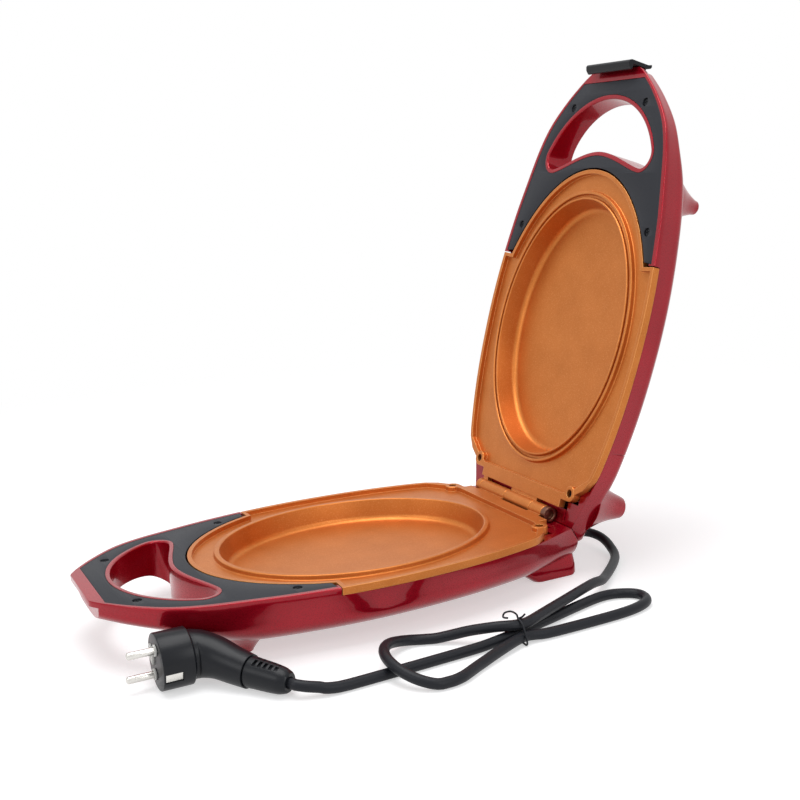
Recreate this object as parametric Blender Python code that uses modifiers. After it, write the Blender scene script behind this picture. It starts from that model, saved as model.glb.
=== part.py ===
"""Folding electric frying pan: two glossy shells joined by a cast hinge, with an oval pan in each half.

Both halves are drawn the same way, in a frame of their own. The hinge axis is the X axis, the handle
lies towards -Y, and the open face looks up at z = 0, which is the parting plane. The lid's half hangs
from an empty on the hinge axis that turns it over and swings it to its open stop.
"""

import math
from dataclasses import dataclass

import bmesh
import bpy
from mathutils import Matrix, Vector

# Driving sizes of one half, in metres
SHELL_HALF_WIDTH = 0.105
REAR_REACH = 0.015
BASE_DEPTH = 0.042
LID_DEPTH = 0.036
SIDE_HEIGHT = 0.018
WALL = 0.0025
BASE_FOOT_DEPTH = 0.046
LID_FOOT_DEPTH = 0.058
OPEN_ANGLE = math.radians(107.5)
SEAT_GAP = 0.0003
RUNNING_GAP = 0.0003
OVERRUN = 0.004
WELD_DISTANCE = 0.000001

# Places along a half, from the hinge axis to the nose
PAN_REAR = 0.0395
PAN_LENGTH = 0.1015
PAN_CENTRE = PAN_REAR + PAN_LENGTH
PLATE_FRONT_MARGIN = 0.0235
PLATE_FRONT = PAN_CENTRE + PAN_LENGTH + PLATE_FRONT_MARGIN
GRIP_BRIDGE = 0.0143
GRIP_REAR = PLATE_FRONT + GRIP_BRIDGE
GRIP_ARC_SETBACK = 0.0333
GRIP_ARC_CENTRE = GRIP_REAR - GRIP_ARC_SETBACK
GRIP_ARC_RADIUS = 0.0745
LOBE_SETBACK = 0.0038
LOBE_FORWARD = GRIP_REAR - LOBE_SETBACK
NOSE_MARGIN = 0.023
SHELL_REACH = GRIP_ARC_CENTRE + GRIP_ARC_RADIUS + NOSE_MARGIN
STEP_REACH = 0.195

# Places across a half that follow its width
PAN_WIDTH_SHARE = 0.762
PAN_WIDTH = PAN_WIDTH_SHARE * SHELL_HALF_WIDTH
GRIP_WIDTH_SHARE = 0.6417
GRIP_HALF_WIDTH = GRIP_WIDTH_SHARE * SHELL_HALF_WIDTH
PLATE_ARC_INSET = 0.001
PLATE_ARC_WIDTH = SHELL_HALF_WIDTH - PLATE_ARC_INSET
PLATE_BOSS_SHARE = 0.6333
PLATE_BOSS_ACROSS = PLATE_BOSS_SHARE * SHELL_HALF_WIDTH
HINGE_SPAN_SHARE = 0.543
HINGE_HALF_SPAN = HINGE_SPAN_SHARE * SHELL_HALF_WIDTH
ELEMENT_WIDTH_SHARE = 0.5238
ELEMENT_WIDTH = ELEMENT_WIDTH_SHARE * SHELL_HALF_WIDTH
SHIELD_WIDTH_SHARE = 0.6
SHIELD_WIDTH = SHIELD_WIDTH_SHARE * SHELL_HALF_WIDTH
FRONT_SCREW_SHARE = 0.442
FRONT_FOOT_SHARE = 0.5714
REAR_FOOT_SHARE = 0.5333

# Plan of the shell's rim: how far forward, as a share of the reach, and how wide, as a share of the width
RIM_SHARES = (
    (-0.05, 0.650),
    (0.0, 0.705),
    (0.06, 0.790),
    (0.13, 0.880),
    (0.26, 0.965),
    (0.40, 1.000),
    (0.52, 0.990),
    (0.647, 0.935),
    (0.74, 0.867),
    (0.826, 0.790),
    (0.8825, 0.700),
    (0.9375, 0.545),
    (0.98, 0.385),
    (1.0, 0.286),
)
# Depth of the shell under the parting plane, as a share of the half's depth
DEPTH_SHARES = (
    (-0.05, 0.96),
    (0.0, 0.98),
    (0.06, 0.99),
    (0.13, 1.0),
    (0.70, 1.0),
    (0.765, 0.92),
    (0.83, 0.68),
    (0.88, 0.57),
    (0.94, 0.47),
    (1.0, 0.36),
)
# Height of the upright side under the rim, as a share of the side height
SIDE_SHARES = ((-0.05, 0.85), (0.05, 1.0), (0.72, 1.0), (0.84, 0.70), (0.93, 0.50), (1.0, 0.34))
LOFT_STOP_SHARES = (0.0, 0.07, 0.15, 0.26, 0.40, 0.54, 0.65, 0.71, 0.76, 0.80)
LOFT_HANDLE_SHARES = (0.84, 0.875, 0.91, 0.9375, 0.97)
SIDE_LEAN_SHARE = 0.035
BELLY_STEPS = 6
BELLY_WIDTH_POWER = 0.72
BELLY_DEPTH_POWER = 0.85
END_ROUND = 0.0025
END_ROUND_SHARE = 0.965

# Rim, ledge and the lowered rim that the pan plate sits on
LEDGE_DEPTH = 0.005
LEDGE_WIDTH = 0.0065
PLATE_SEAT_DEPTH = 0.006
STEP_CLEARANCE = 0.0007
STEP_SLANT = 0.0008
NOSE_LENGTH = 0.0145

# Handle opening: a front arc, two lobes and a hollow rear edge
LOBE_ACROSS = 0.0575
LOBE_END_ANGLE = math.radians(-100)
GRIP_REAR_PULL = 0.014
GRIP_MIDDLE_PULL = 0.020
BEAD_WIDTH = 0.0032
DUCT_WIDTH = 0.0055

# Handle panel
PANEL_THICKNESS = 0.002
PANEL_DROP = 0.0003
PANEL_MARGIN = 0.004
PANEL_END_MARGIN = 0.009
PANEL_FRONT = SHELL_REACH - PANEL_END_MARGIN
PANEL_STEP = 0.002
PANEL_REAR = STEP_REACH + PANEL_STEP
FRONT_SCREW_MARGIN = 0.0279
REAR_SCREW_FORWARD_SHARE = 0.3465
REAR_SCREW_ACROSS_SHARE = 0.374
SCREW_HEAD_RADIUS = 0.0030
SCREW_HEAD_HEIGHT = 0.0009
SCREW_CROWN_SHARE = 0.8
SCREW_SHANK_RADIUS = 0.0013
SCREW_LENGTH = 0.009
SCREW_RECESS = 0.0011
BOSS_RADIUS = 0.004

# Pan plate
PLATE_MARGIN = 0.0008
PLATE_ARC_CENTRE = 0.120
PLATE_REAR = 0.008
PLATE_EAR_REAR = 0.0145
LIP_WIDTH = 0.003
LIP_REAR = 0.019
FLANGE_TOP = 0.004
FLANGE_UNDER = 0.007
PAN_DEPTH = 0.017
PAN_FLOOR = 0.003
PAN_DRAFT = 0.003
PAN_CORNER = 0.005
RING_WALL = 0.004
RING_DRAFT = 0.002
LID_RING_EXTRA = 0.0028
LID_GROOVE_DEPTH = 0.003
LID_GROOVE_WIDTH = 0.0026
LID_INNER_BEAD = 0.0017
RING_DROP = 0.0005
PLATE_BOSS_FORWARD = 0.0205
PLATE_BOSS_RADIUS = 0.0058
PLATE_BOSS_BORE = 0.0031
PLATE_SCREW_SINK = 0.0022

# Hinge
KNUCKLE_RADIUS = 0.0056
PIN_RADIUS = 0.0022
BASE_KNUCKLE_SHARES = ((-0.8246, -0.1842), (0.4825, 0.7719))
LID_KNUCKLE_SHARES = ((-0.9474, -0.8333), (-0.1754, 0.4737))
PIN_HEAD_RADIUS = 0.0058
PIN_HEAD_LENGTH = 0.0055
PIN_HEAD_BORE = 0.0034
PIN_TAIL = 0.0015
PIN_TAIL_RADIUS = 0.0032
HINGE_CLEARANCE = 0.0014

# Feet
FRONT_FOOT_SETBACK = 0.0155
FRONT_FOOT_RADIUS = 0.0055
REAR_FOOT_FORWARD = 0.0145
REAR_FOOT_RADIUS = 0.0085
FOOT_PLACES = (
    (FRONT_FOOT_SHARE * SHELL_HALF_WIDTH, PLATE_FRONT - FRONT_FOOT_SETBACK, FRONT_FOOT_RADIUS),
    (REAR_FOOT_SHARE * SHELL_HALF_WIDTH, REAR_FOOT_FORWARD, REAR_FOOT_RADIUS),
)
FOOT_ROOT_RADIUS = 0.0145
FOOT_EDGE = 0.0016
FOOT_ROOT_SHARE = 0.72

# Heating parts
ELEMENT_RADIUS = 0.0032
ELEMENT_MARGIN = 0.0265
ELEMENT_LENGTH = PAN_LENGTH - ELEMENT_MARGIN
ELEMENT_TAIL = 0.012
ELEMENT_GAP_SHARE = 0.42
SHIELD_MARGIN = 0.0175
SHIELD_LENGTH = PAN_LENGTH - SHIELD_MARGIN
SHIELD_THICKNESS = 0.0008
STUD_RADIUS = 0.003
STUD_HEIGHT = 0.0074
SHIELD_SCREW_LENGTH = 0.0075
STUD_SHARES = ((0.0, 0.72), (0.60, -0.30), (-0.60, -0.30))
THERMOSTAT_RADIUS = 0.008
THERMOSTAT_HEIGHT = 0.0065
THERMOSTAT_CAP_RADIUS = 0.0055
THERMOSTAT_CAP_HEIGHT = 0.0022
FUSE_RADIUS = 0.002
FUSE_LENGTH = 0.014
FUSE_ACROSS = 0.024
FUSE_SETBACK = 0.031
FUSE_FORWARD = PAN_CENTRE - FUSE_SETBACK

# Wiring at the back of the base
CORD_ACROSS = 0.018
CORD_DOWN = 0.0302
CORD_RADIUS = 0.0036
BUSH_RADIUS = 0.0055
BUSH_COLLAR_RADIUS = 0.0063
BUSH_COLLAR = 0.0016
BUSH_SLEEVE = 0.022
BUSH_TIP_RADIUS = 0.0048
BUSH_RIBS = 3
BUSH_RIB_DEPTH = 0.0005
TERMINAL_WIDTH = 0.022
TERMINAL_LENGTH = 0.012
TERMINAL_HEIGHT = 0.010
TERMINAL_ACROSS = -0.017
TERMINAL_FORWARD = 0.014
TERMINAL_SEAT = 0.0343
TERMINAL_PITCH = 0.007
TERMINAL_HOLE = 0.0019
CLAMP_WIDTH = 0.024
CLAMP_LENGTH = 0.007
CLAMP_HEIGHT = 0.0026
CLAMP_FORWARD = 0.002
CLAMP_POST_ACROSS = 0.0085
CLAMP_POST_RADIUS = 0.0032
CORD_REST_HALF_WIDTH = 0.004
SHEATH_END = -0.0085
WIRE_RADIUS = 0.0009
WIRE_PITCH = 0.0024

# Lamps on the lid
LAMP_ACROSS = 0.012
LAMP_SETBACK = 0.032
LAMP_FORWARD = PLATE_FRONT - LAMP_SETBACK
LENS_RADIUS = 0.0042
LENS_FLANGE_RADIUS = 0.0056
LENS_FLANGE = 0.0012
LENS_PROUD = 0.0012
LENS_DOME_SHARE = 0.7
LAMP_RADIUS = 0.003
LAMP_LENGTH = 0.009

# Undercut of both noses, and the latch on the lid's
CATCH_LIP = 0.0042
CATCH_DEPTH = 0.0045
LATCH_WIDTH_SHARE = 0.2667
LATCH_HALF_WIDTH = LATCH_WIDTH_SHARE * SHELL_HALF_WIDTH
LATCH_PIVOT_SETBACK = 0.007
LATCH_PIVOT_FORWARD = SHELL_REACH - LATCH_PIVOT_SETBACK
LATCH_PIVOT_DOWN = 0.0075
LATCH_LUG_RADIUS = 0.003
LATCH_LUG_START = 0.0085
LATCH_LUG_MARGIN = 0.0042
LATCH_LUG_END = LATCH_HALF_WIDTH - LATCH_LUG_MARGIN
LATCH_PIN_RADIUS = 0.00125
LATCH_PIN_OVERHANG = 0.0005
LATCH_PIN_HALF_LENGTH = LATCH_HALF_WIDTH + LATCH_PIN_OVERHANG
LATCH_PROFILE = (
    (0.0049, 0.0158),
    (0.0033, 0.0164),
    (0.0017, 0.0150),
    (0.0007, 0.0115),
    (0.0007, -0.0048),
    (-0.0037, -0.0050),
    (-0.0035, -0.0066),
    (-0.0009, -0.0096),
    (0.0017, -0.0106),
    (0.0033, -0.0098),
    (0.0039, -0.0080),
    (0.0037, 0.0110),
)
LATCH_EDGE = 0.0005
POCKET_HALF_WIDTH = LATCH_LUG_END + LATCH_PIN_OVERHANG
POCKET_REACH = 0.0036
POCKET_TOP = 0.0039
POCKET_FLOOR = 0.0121
SPRING_RADIUS = 0.0026
SPRING_WIRE = 0.0004
SPRING_TURNS = 5
SPRING_STEPS = 8
SPRING_HALF_LENGTH = 0.0060

# Power cord: its route from the clamp, out through the bush and over the table, read from above
CORD_ROUTE = (
    (0.018, -0.0085, -0.0302),
    (0.018, 0.014, -0.0302),
    (0.018, 0.0368, -0.0302),
    (0.0183, 0.043, -0.0306),
    (0.0215, 0.054, -0.0319),
    (0.031, 0.06, -0.0348),
    (0.045, 0.059, -0.0392),
    (0.062, 0.05, -0.042),
    (0.096, 0.015, -0.04),
    (0.109, -0.005, -0.036),
    (0.141, -0.068, -0.0338),
    (0.149, -0.088, -0.0336),
    (0.144, -0.104, -0.0336),
    (0.132, -0.12, -0.0372),
    (0.121, -0.138, -0.042),
    (0.115, -0.155, -0.0415),
    (0.121, -0.172, -0.0375),
    (0.137, -0.184, -0.034),
    (0.155, -0.188, -0.0344),
    (0.172, -0.183, -0.038),
    (0.183, -0.17, -0.042),
    (0.182, -0.153, -0.0424),
    (0.172, -0.134, -0.0424),
    (0.1537, -0.092, -0.0406),
    (0.154, -0.072, -0.042),
    (0.153, -0.02, -0.0424),
    (0.15, 0.004, -0.0424),
    (0.143, 0.018, -0.0424),
    (0.131, 0.021, -0.0424),
    (0.122, 0.011, -0.0424),
    (0.12, -0.008, -0.0424),
    (0.133, -0.054, -0.0422),
    (0.1446, -0.088, -0.0406),
    (0.148, -0.112, -0.042),
    (0.15, -0.138, -0.0424),
    (0.1535, -0.216, -0.0424),
    (0.1515, -0.235, -0.0400),
    (0.1467, -0.2469, -0.0377),
    (0.1420, -0.2502, -0.0372),
    (0.1197, -0.2658, -0.0349),
)
CORD_STEPS = 2

# Twist tie round the three strands
TIE_CENTRE = (0.1493, -0.090, -0.0382)
TIE_RADIUS = 0.00045
TIE_LOOP = (
    (-0.0078, -0.0069),
    (-0.0091, -0.0030),
    (-0.0052, 0.0060),
    (0.0, 0.0096),
    (0.0052, 0.0060),
    (0.0091, -0.0030),
    (0.0078, -0.0069),
    (0.0, -0.0070),
)
TIE_PITCH = 0.0030
TIE_TAIL = (
    (-0.0030, -0.0020, 0.0140),
    (-0.0085, -0.0060, 0.0160),
    (-0.0120, -0.0110, 0.0130),
    (-0.0090, -0.0150, 0.0100),
    (-0.0050, -0.0130, 0.0120),
)
TIE_END = (0.0030, 0.0020, 0.0125)

# Mains plug: a round front with two pins, and a body that bends into the cord sleeve
PLUG_FACE = (0.088, -0.318, -0.0275)
PLUG_ROLL = math.radians(18)
PLUG_RADIUS = 0.0185
PLUG_FRONT_LENGTH = 0.0215
PLUG_EDGE = 0.0007
PLUG_BODY = (
    (0.0, 0.0215, 0.0, 0.0160, 0.0, 0.0),
    (0.0, 0.0240, 0.0, 0.0158, 0.0, 0.0),
    (0.0035, 0.0300, -0.0004, 0.0148, 24.0, -3.0),
    (0.0105, 0.0370, -0.0020, 0.0132, 46.0, -5.0),
    (0.0200, 0.0440, -0.0050, 0.0118, 54.0, -5.0),
    (0.0299, 0.05085, -0.0073, 0.0108, 55.0, -4.8),
)
SLEEVE_START = (0.1183, -0.2668, -0.0348)
SLEEVE_END = (0.1420, -0.2502, -0.0372)
SLEEVE_RADII = (0.0098, 0.0098, 0.0086, 0.0066)
SLEEVE_STOP_SHARES = (0.0, 0.12, 0.78, 1.0)
SLEEVE_SLOTS = 5
SLOT_WIDTH = 0.0021
SLOT_HEIGHT = 0.0062
SLOT_DEPTH = 0.0022
SLOT_RISE_SHARE = 0.62
PIN_PITCH = 0.019
PLUG_PIN_RADIUS = 0.0024
PLUG_PIN_LENGTH = 0.019
PLUG_PIN_SEAT = 0.006
COLLAR_RADIUS = 0.0038
COLLAR_LENGTH = 0.0016
CARRIER_OFFSET = 0.0085
CARRIER_SIZE = 0.0098
CARRIER_DEPTH = 0.0032
CARRIER_PROUD = 0.0012
CARRIER_BORE = 0.0024
CLIP_WIDTH = 0.0060
CLIP_LENGTH = 0.0110
CLIP_THICKNESS = 0.0008
CLIP_BACK = 0.0012

# Counts
ROUND_STEPS = 18
OVAL_STEPS = 40
SMALL_STEPS = 10

COLLECTION_NAME = "folding_electric_frying_pan"


@dataclass(frozen=True)
class Half:
    """One half of the pan.

    side is 1 for the base and -1 for the lid, whose half is turned over and so mirrors its knuckles.
    """

    name: str
    depth: float
    foot_depth: float
    side: int
    holder: bpy.types.Object


def clear_scene():
    for thing in list(bpy.data.objects):
        bpy.data.objects.remove(thing, do_unlink=True)


def new_collection(name):
    made = bpy.data.collections.new(name)
    bpy.context.scene.collection.children.link(made)
    return made


def finish(name, colour, roughness, metallic=0.0):
    """A Principled material with the part's plain colour."""
    material = bpy.data.materials.new(name)
    material.use_nodes = True
    shader = material.node_tree.nodes["Principled BSDF"]
    shader.inputs["Base Color"].default_value = (*colour, 1.0)
    shader.inputs["Roughness"].default_value = roughness
    shader.inputs["Metallic"].default_value = metallic
    material.diffuse_color = (*colour, 1.0)
    return material


def place(name, mesh, holder=None, material=None, cutter=False):
    """An object for the mesh, in the parts' collection or the cutters'."""
    piece = bpy.data.objects.new(name, mesh)
    if cutter:
        CUTTERS.objects.link(piece)
        piece.hide_render = True
        piece.display_type = "WIRE"
    else:
        PARTS.objects.link(piece)
        mesh.materials.append(material)
    piece.parent = holder
    return piece


def cut(piece, tool, operation="DIFFERENCE"):
    change = piece.modifiers.new(tool.name, "BOOLEAN")
    change.operation = operation
    change.solver = "EXACT"
    change.object = tool


def smooth(piece, angle=math.radians(35)):
    piece.data.shade_smooth()
    piece.data.set_sharp_from_angle(angle=angle)


def curve_through(table, at):
    """The value at a place on a smooth curve through a table of (place, value)."""
    places = [row[0] for row in table]
    values = [row[1] for row in table]
    at = min(max(at, places[0]), places[-1])
    low = max(i for i in range(len(places) - 1) if places[i] <= at)
    high = low + 1

    def slope(i):
        before, after = max(i - 1, 0), min(i + 1, len(places) - 1)
        return (values[after] - values[before]) / (places[after] - places[before])

    span = places[high] - places[low]
    t = (at - places[low]) / span
    rise = values[high] - values[low]
    start, end = slope(low) * span, slope(high) * span
    return values[low] + t * start + t * t * (3 * rise - 2 * start - end) + t**3 * (start + end - 2 * rise)


def rim_half_width(forward):
    return SHELL_HALF_WIDTH * curve_through(RIM_SHARES, forward / SHELL_REACH)


def shell_depth(half, forward):
    return half.depth * curve_through(DEPTH_SHARES, forward / SHELL_REACH)


def side_height(forward):
    return SIDE_HEIGHT * curve_through(SIDE_SHARES, forward / SHELL_REACH)


def bulge(step, steps):
    """Across and down shares of the belly's curve, from the foot of the side to the middle."""
    angle = math.pi / 2 * step / steps
    across = math.cos(angle) ** BELLY_WIDTH_POWER if step < steps else 0.0
    return across, math.sin(angle) ** BELLY_DEPTH_POWER


def shell_section(half, forward, inset=0.0, top=0.0, shrink_share=1.0):
    """Points round the shell at one place along it, from the rim, down the side and over the belly."""
    width = rim_half_width(forward) * shrink_share - inset
    depth = shell_depth(half, forward) * shrink_share - inset
    side = side_height(forward) * shrink_share
    foot = width * (1 - SIDE_LEAN_SHARE)
    right = [(width, top), (foot, side)]
    for step in range(1, BELLY_STEPS + 1):
        across, down = bulge(step, BELLY_STEPS)
        right.append((foot * across, side + (depth - side) * down))
    left = [(-x, down) for x, down in reversed(right[:-1])]
    return [Vector((x, -forward, -down)) for x, down in right + left]


def loft(rings):
    """A closed mesh through rings of points, with flat ends."""
    mesh = bpy.data.meshes.new("loft")
    bm = bmesh.new()
    rows = [[bm.verts.new(point) for point in ring] for ring in rings]
    count = len(rows[0])
    for row, after in zip(rows, rows[1:]):
        for i in range(count):
            j = (i + 1) % count
            bm.faces.new((row[i], row[j], after[j], after[i]))
    bm.faces.new(rows[0])
    bm.faces.new(list(reversed(rows[-1])))
    bmesh.ops.recalc_face_normals(bm, faces=bm.faces)
    bm.to_mesh(mesh)
    bm.free()
    return mesh


def flat_mesh(outlines, low, high):
    """A flat piece with the given outlines in plan, between two heights. Inner outlines are holes."""
    curve = bpy.data.curves.new("outline", "CURVE")
    curve.dimensions = "2D"
    curve.fill_mode = "BOTH"
    curve.extrude = (high - low) / 2
    for outline in outlines:
        spline = curve.splines.new("POLY")
        spline.points.add(len(outline) - 1)
        for point, (x, y) in zip(spline.points, outline):
            point.co = (x, y, 0, 1)
        spline.use_cyclic_u = True
    return meshed(curve, Matrix.Translation((0, 0, (low + high) / 2)))


def meshed(curve, matrix):
    """The mesh of a curve, its loose caps welded."""
    holder = bpy.data.objects.new("curve", curve)
    bpy.context.scene.collection.objects.link(holder)
    graph = bpy.context.evaluated_depsgraph_get()
    mesh = bpy.data.meshes.new_from_object(holder.evaluated_get(graph))
    bpy.data.objects.remove(holder, do_unlink=True)
    bm = bmesh.new()
    bm.from_mesh(mesh)
    bmesh.ops.remove_doubles(bm, verts=bm.verts, dist=WELD_DISTANCE)
    bmesh.ops.recalc_face_normals(bm, faces=bm.faces)
    bm.to_mesh(mesh)
    bm.free()
    mesh.transform(matrix)
    return mesh


def turned_mesh(profile, steps=ROUND_STEPS, hollow=False):
    """A body of revolution about Z through (radius, height) points, listed down its outer side.

    A hollow one comes back up its bore, and closes on its first point instead of with flat ends.
    """
    mesh = bpy.data.meshes.new("turned")
    bm = bmesh.new()
    rows = []
    for radius, height in profile:
        if radius == 0:
            rows.append([bm.verts.new((0, 0, height))])
            continue
        angles = [2 * math.pi * i / steps for i in range(steps)]
        rows.append([bm.verts.new((radius * math.cos(a), radius * math.sin(a), height)) for a in angles])
    following = rows[1:] + rows[:1] if hollow else rows[1:]
    for row, after in zip(rows, following):
        for i in range(steps):
            j = (i + 1) % steps
            around = [row[i % len(row)], row[j % len(row)], after[j % len(after)], after[i % len(after)]]
            bm.faces.new(list(dict.fromkeys(around)))
    if not hollow:
        for row in (rows[0], rows[-1]):
            if len(row) > 1:
                bm.faces.new(row)
    bmesh.ops.recalc_face_normals(bm, faces=bm.faces)
    bm.to_mesh(mesh)
    bm.free()
    return mesh


def cylinder_mesh(radius, low, high, steps=ROUND_STEPS):
    return turned_mesh(((radius, high), (radius, low)), steps)


def box_mesh(low, high):
    mesh = bpy.data.meshes.new("box")
    bm = bmesh.new()
    bmesh.ops.create_cube(bm, size=1)
    size = [b - a for a, b in zip(low, high)]
    middle = [(a + b) / 2 for a, b in zip(low, high)]
    bmesh.ops.scale(bm, vec=size, verts=bm.verts)
    bmesh.ops.translate(bm, vec=middle, verts=bm.verts)
    bm.to_mesh(mesh)
    bm.free()
    return mesh


def tube_mesh(points, radius, resolution=2, cyclic=False):
    curve = bpy.data.curves.new("tube", "CURVE")
    curve.dimensions = "3D"
    curve.bevel_depth = radius
    curve.bevel_resolution = resolution
    curve.use_fill_caps = not cyclic
    spline = curve.splines.new("POLY")
    spline.points.add(len(points) - 1)
    for point, place_at in zip(spline.points, points):
        point.co = (*place_at, 1)
    spline.use_cyclic_u = cyclic
    return meshed(curve, Matrix.Identity(4))


def at(mesh, x=0.0, forward=0.0, down=0.0, turn=None):
    """The mesh turned and then moved to a place in its half."""
    mesh.transform(Matrix.Translation((x, -forward, -down)) @ (turn or Matrix.Identity(4)))
    return mesh


def oval(half_width, half_length, centre=PAN_CENTRE, steps=OVAL_STEPS):
    angles = [2 * math.pi * i / steps for i in range(steps)]
    return [(half_width * math.cos(a), -centre + half_length * math.sin(a)) for a in angles]


def oval_ring(half_width, half_length, down, centre=PAN_CENTRE):
    return [Vector((x, y, -down)) for x, y in oval(half_width, half_length, centre)]


def both_sides(right):
    """A closed outline from the points of its right side, which run from the rear to the front."""
    return right + [(-x, y) for x, y in reversed(right) if x > 0]


def grown(outline, by):
    """The outline moved outwards along its own normals."""
    count = len(outline)
    area = sum(
        outline[i][0] * outline[(i + 1) % count][1] - outline[(i + 1) % count][0] * outline[i][1]
        for i in range(count)
    )
    turn = 1 if area > 0 else -1
    moved = []
    for i, (x, y) in enumerate(outline):
        before, after = Vector(outline[i - 1]), Vector(outline[(i + 1) % count])
        along = (after - before).normalized()
        moved.append((x + turn * along.y * by, y - turn * along.x * by))
    return moved


def spread(start, end, steps):
    return [start + (end - start) * i / steps for i in range(steps + 1)]


def grip_outline():
    """The opening of the handle, seen from above, anticlockwise from the middle of its rear edge."""
    lobe = Vector((LOBE_ACROSS, LOBE_FORWARD))
    reach = Vector((LOBE_ACROSS, LOBE_FORWARD - GRIP_ARC_CENTRE))
    lobe_radius = GRIP_ARC_RADIUS - reach.length
    meet = math.atan2(reach.y, reach.x)
    start = lobe + lobe_radius * Vector((math.cos(LOBE_END_ANGLE), math.sin(LOBE_END_ANGLE)))
    heading = Vector((math.sin(LOBE_END_ANGLE), -math.cos(LOBE_END_ANGLE)))
    middle = Vector((0, GRIP_REAR))
    pulls = (start, start + GRIP_REAR_PULL * heading, middle + Vector((GRIP_MIDDLE_PULL, 0)), middle)
    right = []
    for t in spread(1, 0, 6)[:-1]:
        weights = ((1 - t) ** 3, 3 * t * (1 - t) ** 2, 3 * t * t * (1 - t), t**3)
        point = sum((w * p for w, p in zip(weights, pulls)), Vector((0, 0)))
        right.append((point.x, point.y))
    for angle in spread(LOBE_END_ANGLE, meet, 6)[:-1]:
        right.append((lobe.x + lobe_radius * math.cos(angle), lobe.y + lobe_radius * math.sin(angle)))
    for angle in spread(meet, math.pi / 2, 8):
        x = GRIP_ARC_RADIUS * math.cos(angle)
        right.append((max(x, 0), GRIP_ARC_CENTRE + GRIP_ARC_RADIUS * math.sin(angle)))
    fit = GRIP_HALF_WIDTH / (LOBE_ACROSS + lobe_radius)
    right = [(0.0 if x < WELD_DISTANCE else x * fit, -forward) for x, forward in right]
    return both_sides(right)


def panel_screw_places():
    """Places of the panel's two right screws: by the nose, and between the plate's arc and the rim."""
    forward = STEP_REACH + REAR_SCREW_FORWARD_SHARE * (PLATE_FRONT - STEP_REACH)
    share = (forward - PLATE_ARC_CENTRE) / (PLATE_FRONT - PLATE_ARC_CENTRE)
    arc = PLATE_ARC_WIDTH * math.sqrt(1 - share * share)
    across = arc + REAR_SCREW_ACROSS_SHARE * (rim_half_width(forward) - arc)
    return (FRONT_SCREW_SHARE * SHELL_HALF_WIDTH, SHELL_REACH - FRONT_SCREW_MARGIN), (across, forward)


def arc_side(start, margin=0.0, steps=11):
    """Right side of the plate's front arc, from one place along it to its tip."""
    length = PLATE_FRONT - PLATE_ARC_CENTRE + margin
    first = math.asin((start - PLATE_ARC_CENTRE) / length)
    side = []
    for angle in spread(first, math.pi / 2, steps):
        x = (PLATE_ARC_WIDTH + margin) * math.cos(angle)
        side.append((x if x > WELD_DISTANCE else 0.0, -(PLATE_ARC_CENTRE + length * math.sin(angle))))
    return side


def ear_side():
    """Right side of the plate's rear, round the ear that holds the boss."""
    ear = PLATE_BOSS_FORWARD - PLATE_EAR_REAR
    side = [(HINGE_HALF_SPAN, -PLATE_REAR), (HINGE_HALF_SPAN, -PLATE_EAR_REAR)]
    for angle in spread(-math.pi / 2, 0, 5):
        side.append((PLATE_BOSS_ACROSS + ear * math.cos(angle), -PLATE_BOSS_FORWARD - ear * math.sin(angle)))
    return side


def plate_side(margin, start, end, steps):
    return [(rim_half_width(f) - margin, -f) for f in spread(start, end, steps)]


def plate_outline():
    corner = PLATE_BOSS_FORWARD + PLATE_BOSS_RADIUS
    right = ear_side() + plate_side(PLATE_MARGIN + LIP_WIDTH, corner, corner, 1)[:1]
    right += plate_side(PLATE_MARGIN, corner + LIP_WIDTH + PLATE_BOSS_RADIUS, STEP_REACH, 9)
    return both_sides(right + arc_side(STEP_REACH - STEP_SLANT))


def plate_inner_outline(margin, rear):
    """The plate's outline less its margin, with a straight rear edge."""
    corner = PLATE_BOSS_FORWARD + 2 * PLATE_BOSS_RADIUS
    right = [(HINGE_HALF_SPAN, -rear), (PLATE_BOSS_ACROSS, -rear - LIP_WIDTH)]
    right += plate_side(PLATE_MARGIN + margin, corner + margin, STEP_REACH - margin, 9)
    return both_sides(right + arc_side(STEP_REACH - STEP_SLANT - margin, -margin))


def panel_outline(margin=0.0):
    """The handle panel's outline: the rim's curve outside and the plate's arc inside."""
    stops = spread(PANEL_REAR - margin, PANEL_FRONT + margin, 14)
    right = [(rim_half_width(f) - PANEL_MARGIN + margin, -f) for f in stops]
    inner = arc_side(PANEL_REAR + STEP_SLANT - margin, 2 * STEP_CLEARANCE - margin)
    left = [(-x, y) for x, y in reversed(right)]
    return right + left + [(-x, y) for x, y in inner] + list(reversed(inner[:-1]))


def rear_wedge(half, forward):
    """What is cut from behind a slanted rear face, so that the shells meet when the pan is fully open."""
    lean = (math.pi - OPEN_ANGLE) / 2
    across = SHELL_HALF_WIDTH + OVERRUN
    size = 2 * half.depth
    wedge = box_mesh((-across, 0, -size), (across, size, size))
    wedge.transform(Matrix.Rotation(lean, 4, "X"))
    wedge.transform(Matrix.Translation((0, -forward, 0)))
    return wedge


def barrel(grow, overhang):
    across = HINGE_HALF_SPAN + overhang
    radius = KNUCKLE_RADIUS + HINGE_CLEARANCE + grow
    return at(cylinder_mesh(radius, -across, across), turn=Matrix.Rotation(math.pi / 2, 4, "Y"))


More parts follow.
